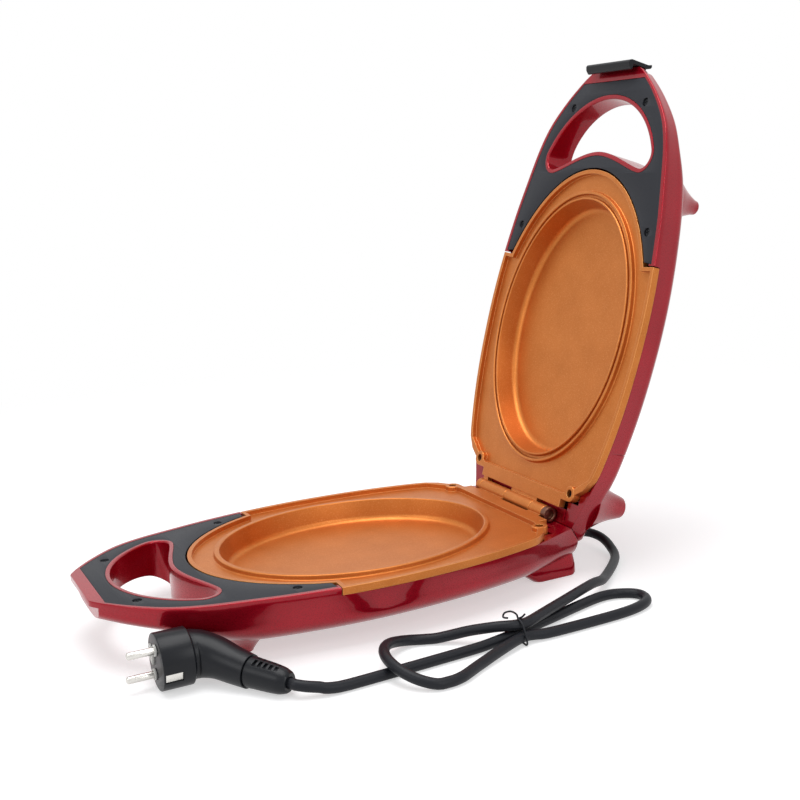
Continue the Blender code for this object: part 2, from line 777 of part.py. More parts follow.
def base_cores():
    """Seats on the base's floor for the cord, its clamp and the terminal block."""
    below = -BASE_DEPTH - OVERRUN
    rest_top = -CORD_DOWN - CORD_RADIUS - SEAT_GAP
    half_length = CLAMP_LENGTH / 2
    cores = [
        box_mesh(
            (CORD_ACROSS - CORD_REST_HALF_WIDTH, -CLAMP_FORWARD - half_length, below),
            (CORD_ACROSS + CORD_REST_HALF_WIDTH, -CLAMP_FORWARD + half_length, rest_top),
        ),
        box_mesh(
            (TERMINAL_ACROSS - TERMINAL_WIDTH / 2, -TERMINAL_FORWARD - TERMINAL_LENGTH / 2, below),
            (TERMINAL_ACROSS + TERMINAL_WIDTH / 2, -TERMINAL_FORWARD + TERMINAL_LENGTH / 2, -TERMINAL_SEAT),
        ),
    ]
    post_top = -CORD_DOWN + CORD_RADIUS
    for side_sign in (1, -1):
        post = cylinder_mesh(CLAMP_POST_RADIUS, below, post_top, SMALL_STEPS)
        cores.append(at(post, CORD_ACROSS + side_sign * CLAMP_POST_ACROSS, CLAMP_FORWARD))
    return cores


def shell_void(half):
    """The hollow of a shell: its inside, less the handle opening's walls, the bosses and the seats."""

    def tool(name, mesh):
        return place(f"{half.name}_{name}", mesh, half.holder, cutter=True)

    front = SHELL_REACH - NOSE_LENGTH
    stops = [-REAR_REACH + WALL] + [s * SHELL_REACH for s in LOFT_STOP_SHARES + LOFT_HANDLE_SHARES]
    stops = [s for s in stops if s < front - WALL] + [front]
    rings = [shell_section(half, f, inset=WALL, top=LEDGE_DEPTH) for f in stops]
    void = tool("void", loft(rings))
    side = [(rim_half_width(f) - LEDGE_WIDTH, -f) for f in spread(STEP_REACH, front, 9)]
    window = flat_mesh(
        [both_sides([(rim_half_width(0) - LEDGE_WIDTH, 0)] + side)], -LEDGE_DEPTH - WALL / 2, OVERRUN
    )
    cut(void, tool("window", window), "UNION")
    below = -half.depth - OVERRUN
    above = 2 * OVERRUN
    cut(void, tool("duct_core", flat_mesh([grown(grip_outline(), DUCT_WIDTH)], below, above)))
    for side_sign in (1, -1):
        for x, forward in panel_screw_places():
            boss = cylinder_mesh(BOSS_RADIUS, below, above, SMALL_STEPS)
            cut(void, tool("boss_core", at(boss, side_sign * x, forward)))
        boss = cylinder_mesh(BOSS_RADIUS, below, -FLANGE_UNDER - SEAT_GAP, SMALL_STEPS)
        cut(void, tool("plate_boss_core", at(boss, side_sign * PLATE_BOSS_ACROSS, PLATE_BOSS_FORWARD)))
    slanted_wall = WALL / math.cos((math.pi - OPEN_ANGLE) / 2)
    cut(void, tool("rear_core", rear_wedge(half, slanted_wall)))
    cut(void, tool("barrel_core", barrel(WALL, WALL)))
    if half.side > 0:
        for core in base_cores():
            cut(void, tool("seat_core", core))
    return void


def foot_mesh(root_down, sole_down, tip_radius):
    """A foot: a flared root, a tapering stem and a small flat sole."""
    height = sole_down - root_down
    flare = FOOT_ROOT_RADIUS * FOOT_ROOT_SHARE
    profile = (
        (FOOT_ROOT_RADIUS, -root_down),
        (flare, -root_down - height / 4),
        ((flare + tip_radius) / 2, -root_down - height / 2),
        (tip_radius, -sole_down + FOOT_EDGE),
        (tip_radius - FOOT_EDGE, -sole_down),
    )
    return turned_mesh(profile, SMALL_STEPS)


def make_shell(half, material):
    """One plastic shell with its handle opening, panel pocket, plate seat, bosses, nose and feet."""

    def tool(name, mesh):
        return place(f"{half.name}_{name}", mesh, half.holder, cutter=True)

    rear_stop = -REAR_REACH + END_ROUND
    stops = [rear_stop] + [s * SHELL_REACH for s in LOFT_STOP_SHARES + LOFT_HANDLE_SHARES]
    rings = [shell_section(half, f) for f in stops if f < SHELL_REACH - END_ROUND]
    rings.insert(0, shell_section(half, -REAR_REACH, shrink_share=END_ROUND_SHARE))
    rings.append(shell_section(half, SHELL_REACH))
    shell = place(half.name + "_shell", loft(rings), half.holder, material)
    for x, forward, tip_radius in FOOT_PLACES:
        for side_sign in (1, -1):
            foot = foot_mesh(shell_depth(half, forward) * FOOT_ROOT_SHARE, half.foot_depth, tip_radius)
            cut(shell, tool("foot_form", at(foot, side_sign * x, forward)), "UNION")
    cut(shell, shell_void(half))
    seat = -PANEL_DROP - PANEL_THICKNESS - SEAT_GAP
    outlines = [panel_outline(RUNNING_GAP), grown(grip_outline(), BEAD_WIDTH)]
    cut(shell, tool("panel_pocket", flat_mesh(outlines, seat, OVERRUN)))
    across = SHELL_HALF_WIDTH + OVERRUN
    step = STEP_REACH + STEP_CLEARANCE
    rim = box_mesh((-across, -step, -PLATE_SEAT_DEPTH), (across, REAR_REACH + OVERRUN, OVERRUN))
    cut(shell, tool("rim_cutter", rim))
    cut(shell, tool("grip_cutter", flat_mesh([grip_outline()], -half.depth - OVERRUN, OVERRUN)))
    cut(shell, tool("rear_cutter", rear_wedge(half, SEAT_GAP)))
    cut(shell, tool("barrel_cutter", barrel(0, 0)))
    undercut = SHELL_REACH - CATCH_DEPTH
    low = (-SHELL_HALF_WIDTH, -SHELL_REACH - OVERRUN, -half.depth)
    cut(shell, tool("nose_cutter", box_mesh(low, (SHELL_HALF_WIDTH, -undercut, -CATCH_LIP))))
    for side_sign in (1, -1):
        for x, forward in panel_screw_places():
            hole = cylinder_mesh(
                SCREW_SHANK_RADIUS + RUNNING_GAP, -SCREW_LENGTH - 4 * RUNNING_GAP, OVERRUN, SMALL_STEPS
            )
            cut(shell, tool("pilot", at(hole, side_sign * x, forward)))
        deep = -FLANGE_TOP - SCREW_LENGTH - 2 * RUNNING_GAP
        hole = cylinder_mesh(SCREW_SHANK_RADIUS + RUNNING_GAP, deep, -FLANGE_TOP, SMALL_STEPS)
        cut(shell, tool("plate_pilot", at(hole, side_sign * PLATE_BOSS_ACROSS, PLATE_BOSS_FORWARD)))
    if half.side > 0:
        backwards = Matrix.Rotation(-math.pi / 2, 4, "X")
        hole = cylinder_mesh(BUSH_RADIUS + RUNNING_GAP, REAR_REACH - 2 * WALL, REAR_REACH + OVERRUN)
        cut(shell, tool("bush_hole", at(hole, CORD_ACROSS, 0, CORD_DOWN, backwards)))
        for side_sign in (1, -1):
            deep = -CORD_DOWN + CORD_RADIUS - SCREW_LENGTH
            hole = cylinder_mesh(SCREW_SHANK_RADIUS + RUNNING_GAP, deep, 0, SMALL_STEPS)
            across = CORD_ACROSS + side_sign * CLAMP_POST_ACROSS
            cut(shell, tool("clamp_pilot", at(hole, across, CLAMP_FORWARD)))
    else:
        low = (-POCKET_HALF_WIDTH, -undercut - OVERRUN, -POCKET_FLOOR)
        high = (POCKET_HALF_WIDTH, -LATCH_PIVOT_FORWARD + POCKET_REACH, -POCKET_TOP)
        cut(shell, tool("latch_pocket", box_mesh(low, high)))
        across = LATCH_PIN_HALF_LENGTH + RUNNING_GAP
        hole = cylinder_mesh(LATCH_PIN_RADIUS + RUNNING_GAP, -across, across, SMALL_STEPS)
        sideways = Matrix.Rotation(math.pi / 2, 4, "Y")
        cut(shell, tool("latch_bore", at(hole, 0, LATCH_PIVOT_FORWARD, LATCH_PIVOT_DOWN, sideways)))
        for side_sign in (1, -1):
            hole = cylinder_mesh(LENS_RADIUS + RUNNING_GAP, -half.depth - OVERRUN, -half.depth + 2 * WALL)
            cut(shell, tool("lens_hole", at(hole, side_sign * LAMP_ACROSS, LAMP_FORWARD)))
    smooth(shell)
    return shell


def make_panel(half, material):
    """The dark inlay of the handle, with its screw holes."""
    low = -PANEL_DROP - PANEL_THICKNESS
    rim = grown(grip_outline(), BEAD_WIDTH + RUNNING_GAP)
    inlay = flat_mesh([panel_outline(), rim], low, -PANEL_DROP)
    panel = place(half.name + "_handle_panel", inlay, half.holder, material)
    for side_sign in (1, -1):
        for x, forward in panel_screw_places():
            recess = cylinder_mesh(
                SCREW_HEAD_RADIUS + RUNNING_GAP, -PANEL_DROP - SCREW_RECESS, OVERRUN, SMALL_STEPS
            )
            hole = cylinder_mesh(SCREW_SHANK_RADIUS + RUNNING_GAP, low - OVERRUN, OVERRUN, SMALL_STEPS)
            for mesh in (recess, hole):
                tool = place(
                    half.name + "_panel_hole", at(mesh, side_sign * x, forward), half.holder, cutter=True
                )
                cut(panel, tool)
    return panel


def screw_mesh(head_radius=SCREW_HEAD_RADIUS, length=SCREW_LENGTH):
    """A screw with its head's top at z = 0."""
    neck = -SCREW_HEAD_HEIGHT
    profile = (
        (head_radius * SCREW_CROWN_SHARE, 0),
        (head_radius, neck),
        (SCREW_SHANK_RADIUS, neck),
        (SCREW_SHANK_RADIUS, -length + SCREW_SHANK_RADIUS),
        (SCREW_SHANK_RADIUS / 3, -length),
    )
    return turned_mesh(profile, SMALL_STEPS)


def make_screws(half, material):
    sides = (("right", 1), ("left", -1))
    top = PANEL_DROP + SCREW_RECESS - SCREW_HEAD_HEIGHT - SEAT_GAP / 2
    for end, (x, forward) in zip(("front", "rear"), panel_screw_places()):
        for side, side_sign in sides:
            mesh = at(screw_mesh(), side_sign * x * half.side, forward, top)
            screw = place(f"{half.name}_panel_screw_{end}_{side}", mesh, half.holder, material)
            smooth(screw)
    for side, side_sign in sides:
        head = PLATE_BOSS_BORE - RUNNING_GAP
        mesh = at(
            screw_mesh(head), side_sign * PLATE_BOSS_ACROSS * half.side, PLATE_BOSS_FORWARD, PLATE_SCREW_SINK
        )
        smooth(place(f"{half.name}_plate_screw_{side}", mesh, half.holder, material))


def bowl_rings(grow, extra_down, top):
    """Rings down one side of the oval pan, from a height to its floor."""
    floor = PAN_DEPTH + extra_down
    wide, long = PAN_WIDTH + grow, PAN_LENGTH + grow
    return [
        oval_ring(wide, long, top),
        oval_ring(wide - PAN_DRAFT, long - PAN_DRAFT, floor - PAN_CORNER),
        oval_ring(
            wide - PAN_DRAFT - PAN_CORNER / 3, long - PAN_DRAFT - PAN_CORNER / 3, floor - PAN_CORNER / 3
        ),
        oval_ring(wide - PAN_DRAFT - PAN_CORNER, long - PAN_DRAFT - PAN_CORNER, floor),
    ]


def knuckle_spans(half):
    shares = BASE_KNUCKLE_SHARES if half.side > 0 else LID_KNUCKLE_SHARES
    reach = HINGE_HALF_SPAN * half.side
    return [tuple(sorted((a * reach, b * reach))) for a, b in shares]


def make_plate(half, material):
    """The cast pan plate: lip, flange, ring, oval pan, rear bosses and its share of the hinge's knuckles."""
    seat = PLATE_SEAT_DEPTH - SEAT_GAP
    plate = place(
        half.name + "_pan_plate", flat_mesh([plate_outline()], -seat, -SEAT_GAP), half.holder, material
    )

    def tool(name, mesh):
        return place(f"{half.name}_{name}", mesh, half.holder, cutter=True)

    inner = plate_inner_outline(LIP_WIDTH + WALL / 2, LIP_REAR)
    cut(plate, tool("flange_form", flat_mesh([inner], -FLANGE_UNDER, -FLANGE_TOP - WALL / 4)), "UNION")
    cut(plate, tool("bowl_form", loft(bowl_rings(PAN_FLOOR, PAN_FLOOR, FLANGE_TOP + WALL / 4))), "UNION")
    recess = tool(
        "flange_recess", flat_mesh([plate_inner_outline(LIP_WIDTH, LIP_REAR)], -FLANGE_TOP, OVERRUN)
    )
    wall = RING_WALL + (LID_RING_EXTRA if half.side < 0 else 0)
    foot = wall + RING_DRAFT
    ring = loft(
        [
            oval_ring(PAN_WIDTH + wall, PAN_LENGTH + wall, RING_DROP),
            oval_ring(PAN_WIDTH + foot, PAN_LENGTH + foot, FLANGE_TOP + OVERRUN),
        ]
    )
    cut(recess, tool("ring_form", ring))
    cut(plate, recess)
    inside = bowl_rings(0, 0, -OVERRUN)
    cut(plate, tool("pan_cutter", loft(inside)))
    if half.side < 0:
        near, far = LID_INNER_BEAD, LID_INNER_BEAD + LID_GROOVE_WIDTH
        ovals = [oval(PAN_WIDTH + grow, PAN_LENGTH + grow) for grow in (far, near)]
        cut(plate, tool("groove_cutter", flat_mesh(ovals, -RING_DROP - LID_GROOVE_DEPTH, OVERRUN)))
    for side_sign in (1, -1):
        across = side_sign * PLATE_BOSS_ACROSS
        boss = cylinder_mesh(PLATE_BOSS_RADIUS, -FLANGE_UNDER, -SEAT_GAP / 2)
        cut(plate, tool("plate_boss", at(boss, across, PLATE_BOSS_FORWARD)), "UNION")
        sink = PLATE_SCREW_SINK + SCREW_HEAD_HEIGHT + SEAT_GAP
        bore = cylinder_mesh(PLATE_BOSS_BORE, -sink, OVERRUN, SMALL_STEPS)
        cut(plate, tool("plate_bore", at(bore, across, PLATE_BOSS_FORWARD)))
        hole = cylinder_mesh(SCREW_SHANK_RADIUS + RUNNING_GAP, -FLANGE_UNDER - OVERRUN, 0, SMALL_STEPS)
        cut(plate, tool("plate_hole", at(hole, across, PLATE_BOSS_FORWARD)))
    for start, end in knuckle_spans(half):
        knuckle = at(cylinder_mesh(KNUCKLE_RADIUS, start, end), turn=Matrix.Rotation(math.pi / 2, 4, "Y"))
        cut(plate, tool("knuckle", knuckle), "UNION")
        leaf = box_mesh((start, -PLATE_REAR - OVERRUN, -seat + SEAT_GAP), (end, 0, -2 * SEAT_GAP))
        cut(plate, tool("hinge_leaf", leaf), "UNION")
    bore = cylinder_mesh(PIN_RADIUS + RUNNING_GAP, -HINGE_HALF_SPAN, HINGE_HALF_SPAN, SMALL_STEPS)
    cut(plate, tool("pin_bore", at(bore, turn=Matrix.Rotation(math.pi / 2, 4, "Y"))))
    for share_x, share_y in STUD_SHARES:
        x = share_x * SHIELD_WIDTH
        forward = PAN_CENTRE + share_y * SHIELD_LENGTH
        under = PAN_DEPTH + PAN_FLOOR
        stud = cylinder_mesh(STUD_RADIUS, -under - STUD_HEIGHT, -under + PAN_FLOOR / 2, SMALL_STEPS)
        cut(plate, tool("shield_stud", at(stud, x, forward)), "UNION")
        hole = cylinder_mesh(
            SCREW_SHANK_RADIUS + RUNNING_GAP,
            -under - STUD_HEIGHT - OVERRUN,
            -under - STUD_HEIGHT + SHIELD_SCREW_LENGTH,
            SMALL_STEPS,
        )
        cut(plate, tool("stud_hole", at(hole, x, forward)))
    smooth(plate)
    return plate


def make_heating(half, metal, steel):
    """Element and heat shield under the pan's floor, and the shield's three screws."""
    down = PAN_DEPTH + PAN_FLOOR + SEAT_GAP + ELEMENT_RADIUS
    points = []
    for angle in spread(-math.pi * ELEMENT_GAP_SHARE, math.pi * (1 + ELEMENT_GAP_SHARE), 26):
        x, y = ELEMENT_WIDTH * math.cos(angle), -PAN_CENTRE - ELEMENT_LENGTH * math.sin(angle)
        points.append(Vector((x, y, -down)))
    tail = Vector((0, ELEMENT_TAIL, 0))
    points = [points[0] + tail] + points + [points[-1] + tail]
    smooth(place(half.name + "_heating_element", tube_mesh(points, ELEMENT_RADIUS), half.holder, metal))
    shield_top = PAN_DEPTH + PAN_FLOOR + STUD_HEIGHT + SEAT_GAP
    hole = oval(THERMOSTAT_RADIUS + OVERRUN, THERMOSTAT_RADIUS + OVERRUN, steps=ROUND_STEPS)
    sheet = flat_mesh([oval(SHIELD_WIDTH, SHIELD_LENGTH), hole], -shield_top - SHIELD_THICKNESS, -shield_top)
    shield = place(half.name + "_heat_shield", sheet, half.holder, steel)
    over = Matrix.Rotation(math.pi, 4, "X")
    for name, (share_x, share_y) in zip(("front", "right", "left"), STUD_SHARES):
        x = share_x * SHIELD_WIDTH
        forward = PAN_CENTRE + share_y * SHIELD_LENGTH
        low, high = -shield_top - SHIELD_THICKNESS - OVERRUN, -shield_top + OVERRUN
        hole = at(cylinder_mesh(SCREW_SHANK_RADIUS + RUNNING_GAP, low, high, SMALL_STEPS), x, forward)
        cut(shield, place(half.name + "_shield_hole", hole, half.holder, cutter=True))
        under = shield_top + SHIELD_THICKNESS + SEAT_GAP + SCREW_HEAD_HEIGHT
        screw = at(screw_mesh(length=SHIELD_SCREW_LENGTH), x * half.side, forward, under, over)
        smooth(place(f"{half.name}_shield_screw_{name}", screw, half.holder, steel))


def make_thermostat(half, metal, ceramic):
    """Disc thermostat and one-shot fuse against the pan's floor."""
    under = PAN_DEPTH + PAN_FLOOR + SEAT_GAP
    body = under + THERMOSTAT_HEIGHT
    profile = (
        (THERMOSTAT_RADIUS, -under),
        (THERMOSTAT_RADIUS, -body),
        (THERMOSTAT_CAP_RADIUS, -body),
        (THERMOSTAT_CAP_RADIUS, -body - THERMOSTAT_CAP_HEIGHT),
    )
    smooth(place("thermostat", at(turned_mesh(profile), 0, PAN_CENTRE), half.holder, ceramic))
    profile = (
        (FUSE_RADIUS / 3, FUSE_LENGTH),
        (FUSE_RADIUS / 3, FUSE_LENGTH / 2),
        (FUSE_RADIUS, FUSE_LENGTH / 2),
        (FUSE_RADIUS, -FUSE_LENGTH / 2),
        (FUSE_RADIUS / 3, -FUSE_LENGTH / 2),
        (FUSE_RADIUS / 3, -FUSE_LENGTH),
    )
    lying = Matrix.Rotation(math.pi / 2, 4, "X")
    fuse = at(turned_mesh(profile, SMALL_STEPS), FUSE_ACROSS, FUSE_FORWARD, under + FUSE_RADIUS, lying)
    smooth(place("thermal_fuse", fuse, half.holder, metal))


def make_wiring(half, rubber, ceramic, steel, wires):
    """Cord bush, clamp, terminal block and the three wires between the cord and the block."""
    backwards = Matrix.Rotation(-math.pi / 2, 4, "X")
    wall = REAR_REACH + SEAT_GAP
    inner_wall = REAR_REACH - WALL - SEAT_GAP
    bore = CORD_RADIUS + SEAT_GAP
    profile = [(BUSH_TIP_RADIUS, wall + BUSH_SLEEVE)]
    start = wall + BUSH_COLLAR
    pitch = BUSH_SLEEVE / (BUSH_RIBS + 2)
    for rib in range(BUSH_RIBS, 0, -1):
        high = start + pitch * (rib + 0.5)
        low = high - pitch / 3
        for height, drop in ((high, 0), (high, BUSH_RIB_DEPTH), (low, BUSH_RIB_DEPTH), (low, 0)):
            share = (height - start) / (BUSH_SLEEVE - BUSH_COLLAR)
            profile.append((BUSH_RADIUS + (BUSH_TIP_RADIUS - BUSH_RADIUS) * share - drop, height))
    profile += [
        (BUSH_RADIUS, start),
        (BUSH_COLLAR_RADIUS, start),
        (BUSH_COLLAR_RADIUS, wall),
        (BUSH_RADIUS, wall),
        (BUSH_RADIUS, inner_wall),
        (BUSH_COLLAR_RADIUS, inner_wall),
        (BUSH_COLLAR_RADIUS, inner_wall - BUSH_COLLAR),
        (bore, inner_wall - BUSH_COLLAR),
        (bore, wall + BUSH_SLEEVE),
    ]
    bush = at(turned_mesh(profile, hollow=True), CORD_ACROSS, 0, CORD_DOWN, backwards)
    smooth(place("cord_bush", bush, half.holder, rubber))
    low = -CORD_DOWN + CORD_RADIUS + SEAT_GAP
    clamp = place(
        "cord_clamp",
        box_mesh(
            (CORD_ACROSS - CLAMP_WIDTH / 2, -CLAMP_FORWARD - CLAMP_LENGTH / 2, low),
            (CORD_ACROSS + CLAMP_WIDTH / 2, -CLAMP_FORWARD + CLAMP_LENGTH / 2, low + CLAMP_HEIGHT),
        ),
        half.holder,
        steel,
    )
    for side, side_sign in (("right", 1), ("left", -1)):
        x = CORD_ACROSS + side_sign * CLAMP_POST_ACROSS
        hole = at(
            cylinder_mesh(SCREW_SHANK_RADIUS + RUNNING_GAP, low - OVERRUN, 0, SMALL_STEPS), x, CLAMP_FORWARD
        )
        cut(clamp, place("clamp_hole", hole, half.holder, cutter=True))
        top = low + CLAMP_HEIGHT + SEAT_GAP + SCREW_HEAD_HEIGHT
        screw = at(screw_mesh(length=SHIELD_SCREW_LENGTH), x, CLAMP_FORWARD, -top)
        smooth(place(f"cord_clamp_screw_{side}", screw, half.holder, steel))
    seat = -TERMINAL_SEAT + SEAT_GAP
    block = place(
        "terminal_block",
        box_mesh(
            (TERMINAL_ACROSS - TERMINAL_WIDTH / 2, -TERMINAL_FORWARD - TERMINAL_LENGTH / 2, seat),
            (
                TERMINAL_ACROSS + TERMINAL_WIDTH / 2,
                -TERMINAL_FORWARD + TERMINAL_LENGTH / 2,
                seat + TERMINAL_HEIGHT,
            ),
        ),
        half.holder,
        ceramic,
    )
    for step, name in ((-1, "live"), (0, "earth"), (1, "neutral")):
        x = TERMINAL_ACROSS + step * TERMINAL_PITCH
        well = cylinder_mesh(
            TERMINAL_HOLE, seat + TERMINAL_HEIGHT / 2, seat + TERMINAL_HEIGHT + OVERRUN, SMALL_STEPS
        )
        cut(block, place("terminal_well", at(well, x, TERMINAL_FORWARD), half.holder, cutter=True))
        end = Vector((x, -TERMINAL_FORWARD, seat + TERMINAL_HEIGHT / 2 + SEAT_GAP + WIRE_RADIUS))
        top = Vector((x, -TERMINAL_FORWARD, seat + TERMINAL_HEIGHT + 2 * TERMINAL_HOLE))
        start = Vector((CORD_ACROSS - step * WIRE_PITCH, SHEATH_END - WIRE_RADIUS, -CORD_DOWN))
        points = wire_route(start, top, end, step)
        smooth(place(f"{name}_wire", tube_mesh(points, WIRE_RADIUS, 1), half.holder, wires[name]))


def wire_route(start, top, end, step):
    """A wire's way from the cord's inner end, forward under the clamp's side and over into the block."""
    lift = (1 - step) * WIRE_PITCH
    beside = Vector((start.x, start.y - WIRE_PITCH - 2 * lift, start.z))
    rise = Vector((start.x - TERMINAL_WIDTH / 2, beside.y, top.z + lift))
    over = Vector((top.x + 2 * WIRE_PITCH, top.y, top.z + lift))
    return smooth_path([start, beside, rise, over, top, end], 3)


def smooth_path(points, steps):
    """Points along a smooth curve through the given ones."""
    points = [Vector(p) for p in points]
    path = []
    for i in range(len(points) - 1):
        before = points[max(i - 1, 0)]
        start, end = points[i], points[i + 1]
        after = points[min(i + 2, len(points) - 1)]
        for k in range(steps):
            t = k / steps
            leave, arrive = (end - before) / 2, (after - start) / 2
            path.append(
                start * (2 * t**3 - 3 * t * t + 1)
                + leave * (t**3 - 2 * t * t + t)
                + end * (3 * t * t - 2 * t**3)
                + arrive * (t**3 - t * t)
            )
    path.append(points[-1])
    return path


def make_hinge_pin(holder, dark):
    """The pin through all the knuckles, with a hollow round head on the right."""
    head = BASE_KNUCKLE_SHARES[-1][-1] * HINGE_HALF_SPAN + SEAT_GAP
    tail = LID_KNUCKLE_SHARES[0][0] * HINGE_HALF_SPAN - SEAT_GAP
    profile = (
        (PIN_HEAD_BORE, head + PIN_HEAD_LENGTH / 2),
        (PIN_HEAD_BORE, head + PIN_HEAD_LENGTH),
        (PIN_HEAD_RADIUS, head + PIN_HEAD_LENGTH),
        (PIN_HEAD_RADIUS, head),
        (PIN_RADIUS, head),
        (PIN_RADIUS, tail),
        (PIN_TAIL_RADIUS, tail),
        (PIN_TAIL_RADIUS, tail - PIN_TAIL),
    )
    mesh = at(turned_mesh(profile), turn=Matrix.Rotation(math.pi / 2, 4, "Y"))
    smooth(place("hinge_pin", mesh, holder, dark))


def make_lamps(half, clear, glass):
    """Two small lenses in the lid's outer wall, each with a lamp behind it."""
    inner = half.depth - WALL - SEAT_GAP
    for side, side_sign, lens_finish in (("right", 1, clear), ("left", -1, clear)):
        x = side_sign * LAMP_ACROSS * half.side
        profile = (
            (LENS_FLANGE_RADIUS, -inner + LENS_FLANGE),
            (LENS_FLANGE_RADIUS, -inner),
            (LENS_RADIUS, -inner),
            (LENS_RADIUS, -half.depth),
            (LENS_RADIUS * LENS_DOME_SHARE, -half.depth - LENS_PROUD * LENS_DOME_SHARE),
            (0, -half.depth - LENS_PROUD),
        )
        smooth(
            place(f"lamp_lens_{side}", at(turned_mesh(profile), x, LAMP_FORWARD), half.holder, lens_finish)
        )
        base = -inner + LENS_FLANGE + SEAT_GAP
        lamp = cylinder_mesh(LAMP_RADIUS, base, base + LAMP_LENGTH, SMALL_STEPS)
        smooth(place(f"lamp_{side}", at(lamp, x, LAMP_FORWARD), half.holder, glass))


def make_latch(half, dark, steel):
    """The latch on the lid's nose, with the pin it turns on and the spring that holds it in."""
    pivot = bpy.data.objects.new("latch_axis", None)
    PARTS.objects.link(pivot)
    pivot.parent = half.holder
    pivot.location = (0, -LATCH_PIVOT_FORWARD, -LATCH_PIVOT_DOWN)
    sideways = Matrix.Rotation(math.pi / 2, 4, "Y")
    standing = Matrix(
        ((0, 0, 1, 0), (-1, 0, 0, -LATCH_PIVOT_SETBACK), (0, -1, 0, LATCH_PIVOT_DOWN), (0, 0, 0, 1))
    )
    plate = flat_mesh([list(reversed(LATCH_PROFILE))], -LATCH_HALF_WIDTH, LATCH_HALF_WIDTH)
    plate.transform(standing)
    latch = place("latch", plate, pivot, dark)
    edge = latch.modifiers.new("edge", "BEVEL")
    edge.width = LATCH_EDGE
    edge.segments = 1
    edge.limit_method = "ANGLE"
    reach = LATCH_PROFILE[4][0] + LATCH_PIVOT_SETBACK
    for side_sign in (1, -1):
        start, end = sorted((side_sign * LATCH_LUG_START, side_sign * LATCH_LUG_END))
        arm = box_mesh((start, -reach - LATCH_EDGE * 3, -LATCH_LUG_RADIUS), (end, 0, LATCH_LUG_RADIUS))
        cut(latch, place("latch_arm", arm, pivot, cutter=True), "UNION")
        eye = at(cylinder_mesh(LATCH_LUG_RADIUS, start, end), turn=sideways)
        cut(latch, place("latch_eye", eye, pivot, cutter=True), "UNION")
    wide = LATCH_HALF_WIDTH
    bore = at(cylinder_mesh(LATCH_PIN_RADIUS + RUNNING_GAP, -wide, wide, SMALL_STEPS), turn=sideways)
    cut(latch, place("latch_bore", bore, pivot, cutter=True))
    smooth(latch)
    wide = LATCH_PIN_HALF_LENGTH
    pin = at(cylinder_mesh(LATCH_PIN_RADIUS, -wide, wide, SMALL_STEPS), turn=sideways)
    smooth(place("latch_pin", pin, pivot, steel))
    coil = []
    for step in range(SPRING_TURNS * SPRING_STEPS + 1):
        angle = 2 * math.pi * step / SPRING_STEPS
        x = SPRING_HALF_LENGTH * (2 * step / (SPRING_TURNS * SPRING_STEPS) - 1)
        coil.append((x, SPRING_RADIUS * math.cos(angle), SPRING_RADIUS * math.sin(angle)))
    smooth(place("latch_spring", tube_mesh(coil, SPRING_WIRE, 0), pivot, steel))


def make_cord(holder, rubber):
    """The power cord on its route, and the twist tie round its three strands."""
    smooth(
        place("power_cord", tube_mesh(smooth_path(CORD_ROUTE, CORD_STEPS), CORD_RADIUS, 2), holder, rubber)
    )
    count = len(TIE_LOOP)
    centre = Vector(TIE_CENTRE)
    loop = []
    for i in range(count + 1):
        x, z = TIE_LOOP[(i + 3) % count]
        loop.append(Vector((x, TIE_PITCH * (i / count - 0.5), z)))
    points = [Vector(p) for p in reversed(TIE_TAIL)] + loop + [Vector(TIE_END)]
    path = [centre + p for p in smooth_path(points, 3)]
    smooth(place("cord_tie", tube_mesh(path, TIE_RADIUS, 0), holder, rubber))


def plug_ring(x, along, z, radius, turn_degrees, pitch_degrees, steps=ROUND_STEPS):
    """A ring of the plug's body, facing back along its own direction."""
    pitch = Matrix.Rotation(math.radians(pitch_degrees) - math.pi / 2, 4, "X")
    facing = Matrix.Rotation(-math.radians(turn_degrees), 4, "Z") @ pitch
    ring = []
    for i in range(steps):
        angle = 2 * math.pi * i / steps
        ring.append(
            facing @ Vector((radius * math.cos(angle), radius * math.sin(angle), 0)) + Vector((x, along, z))
        )
    return ring


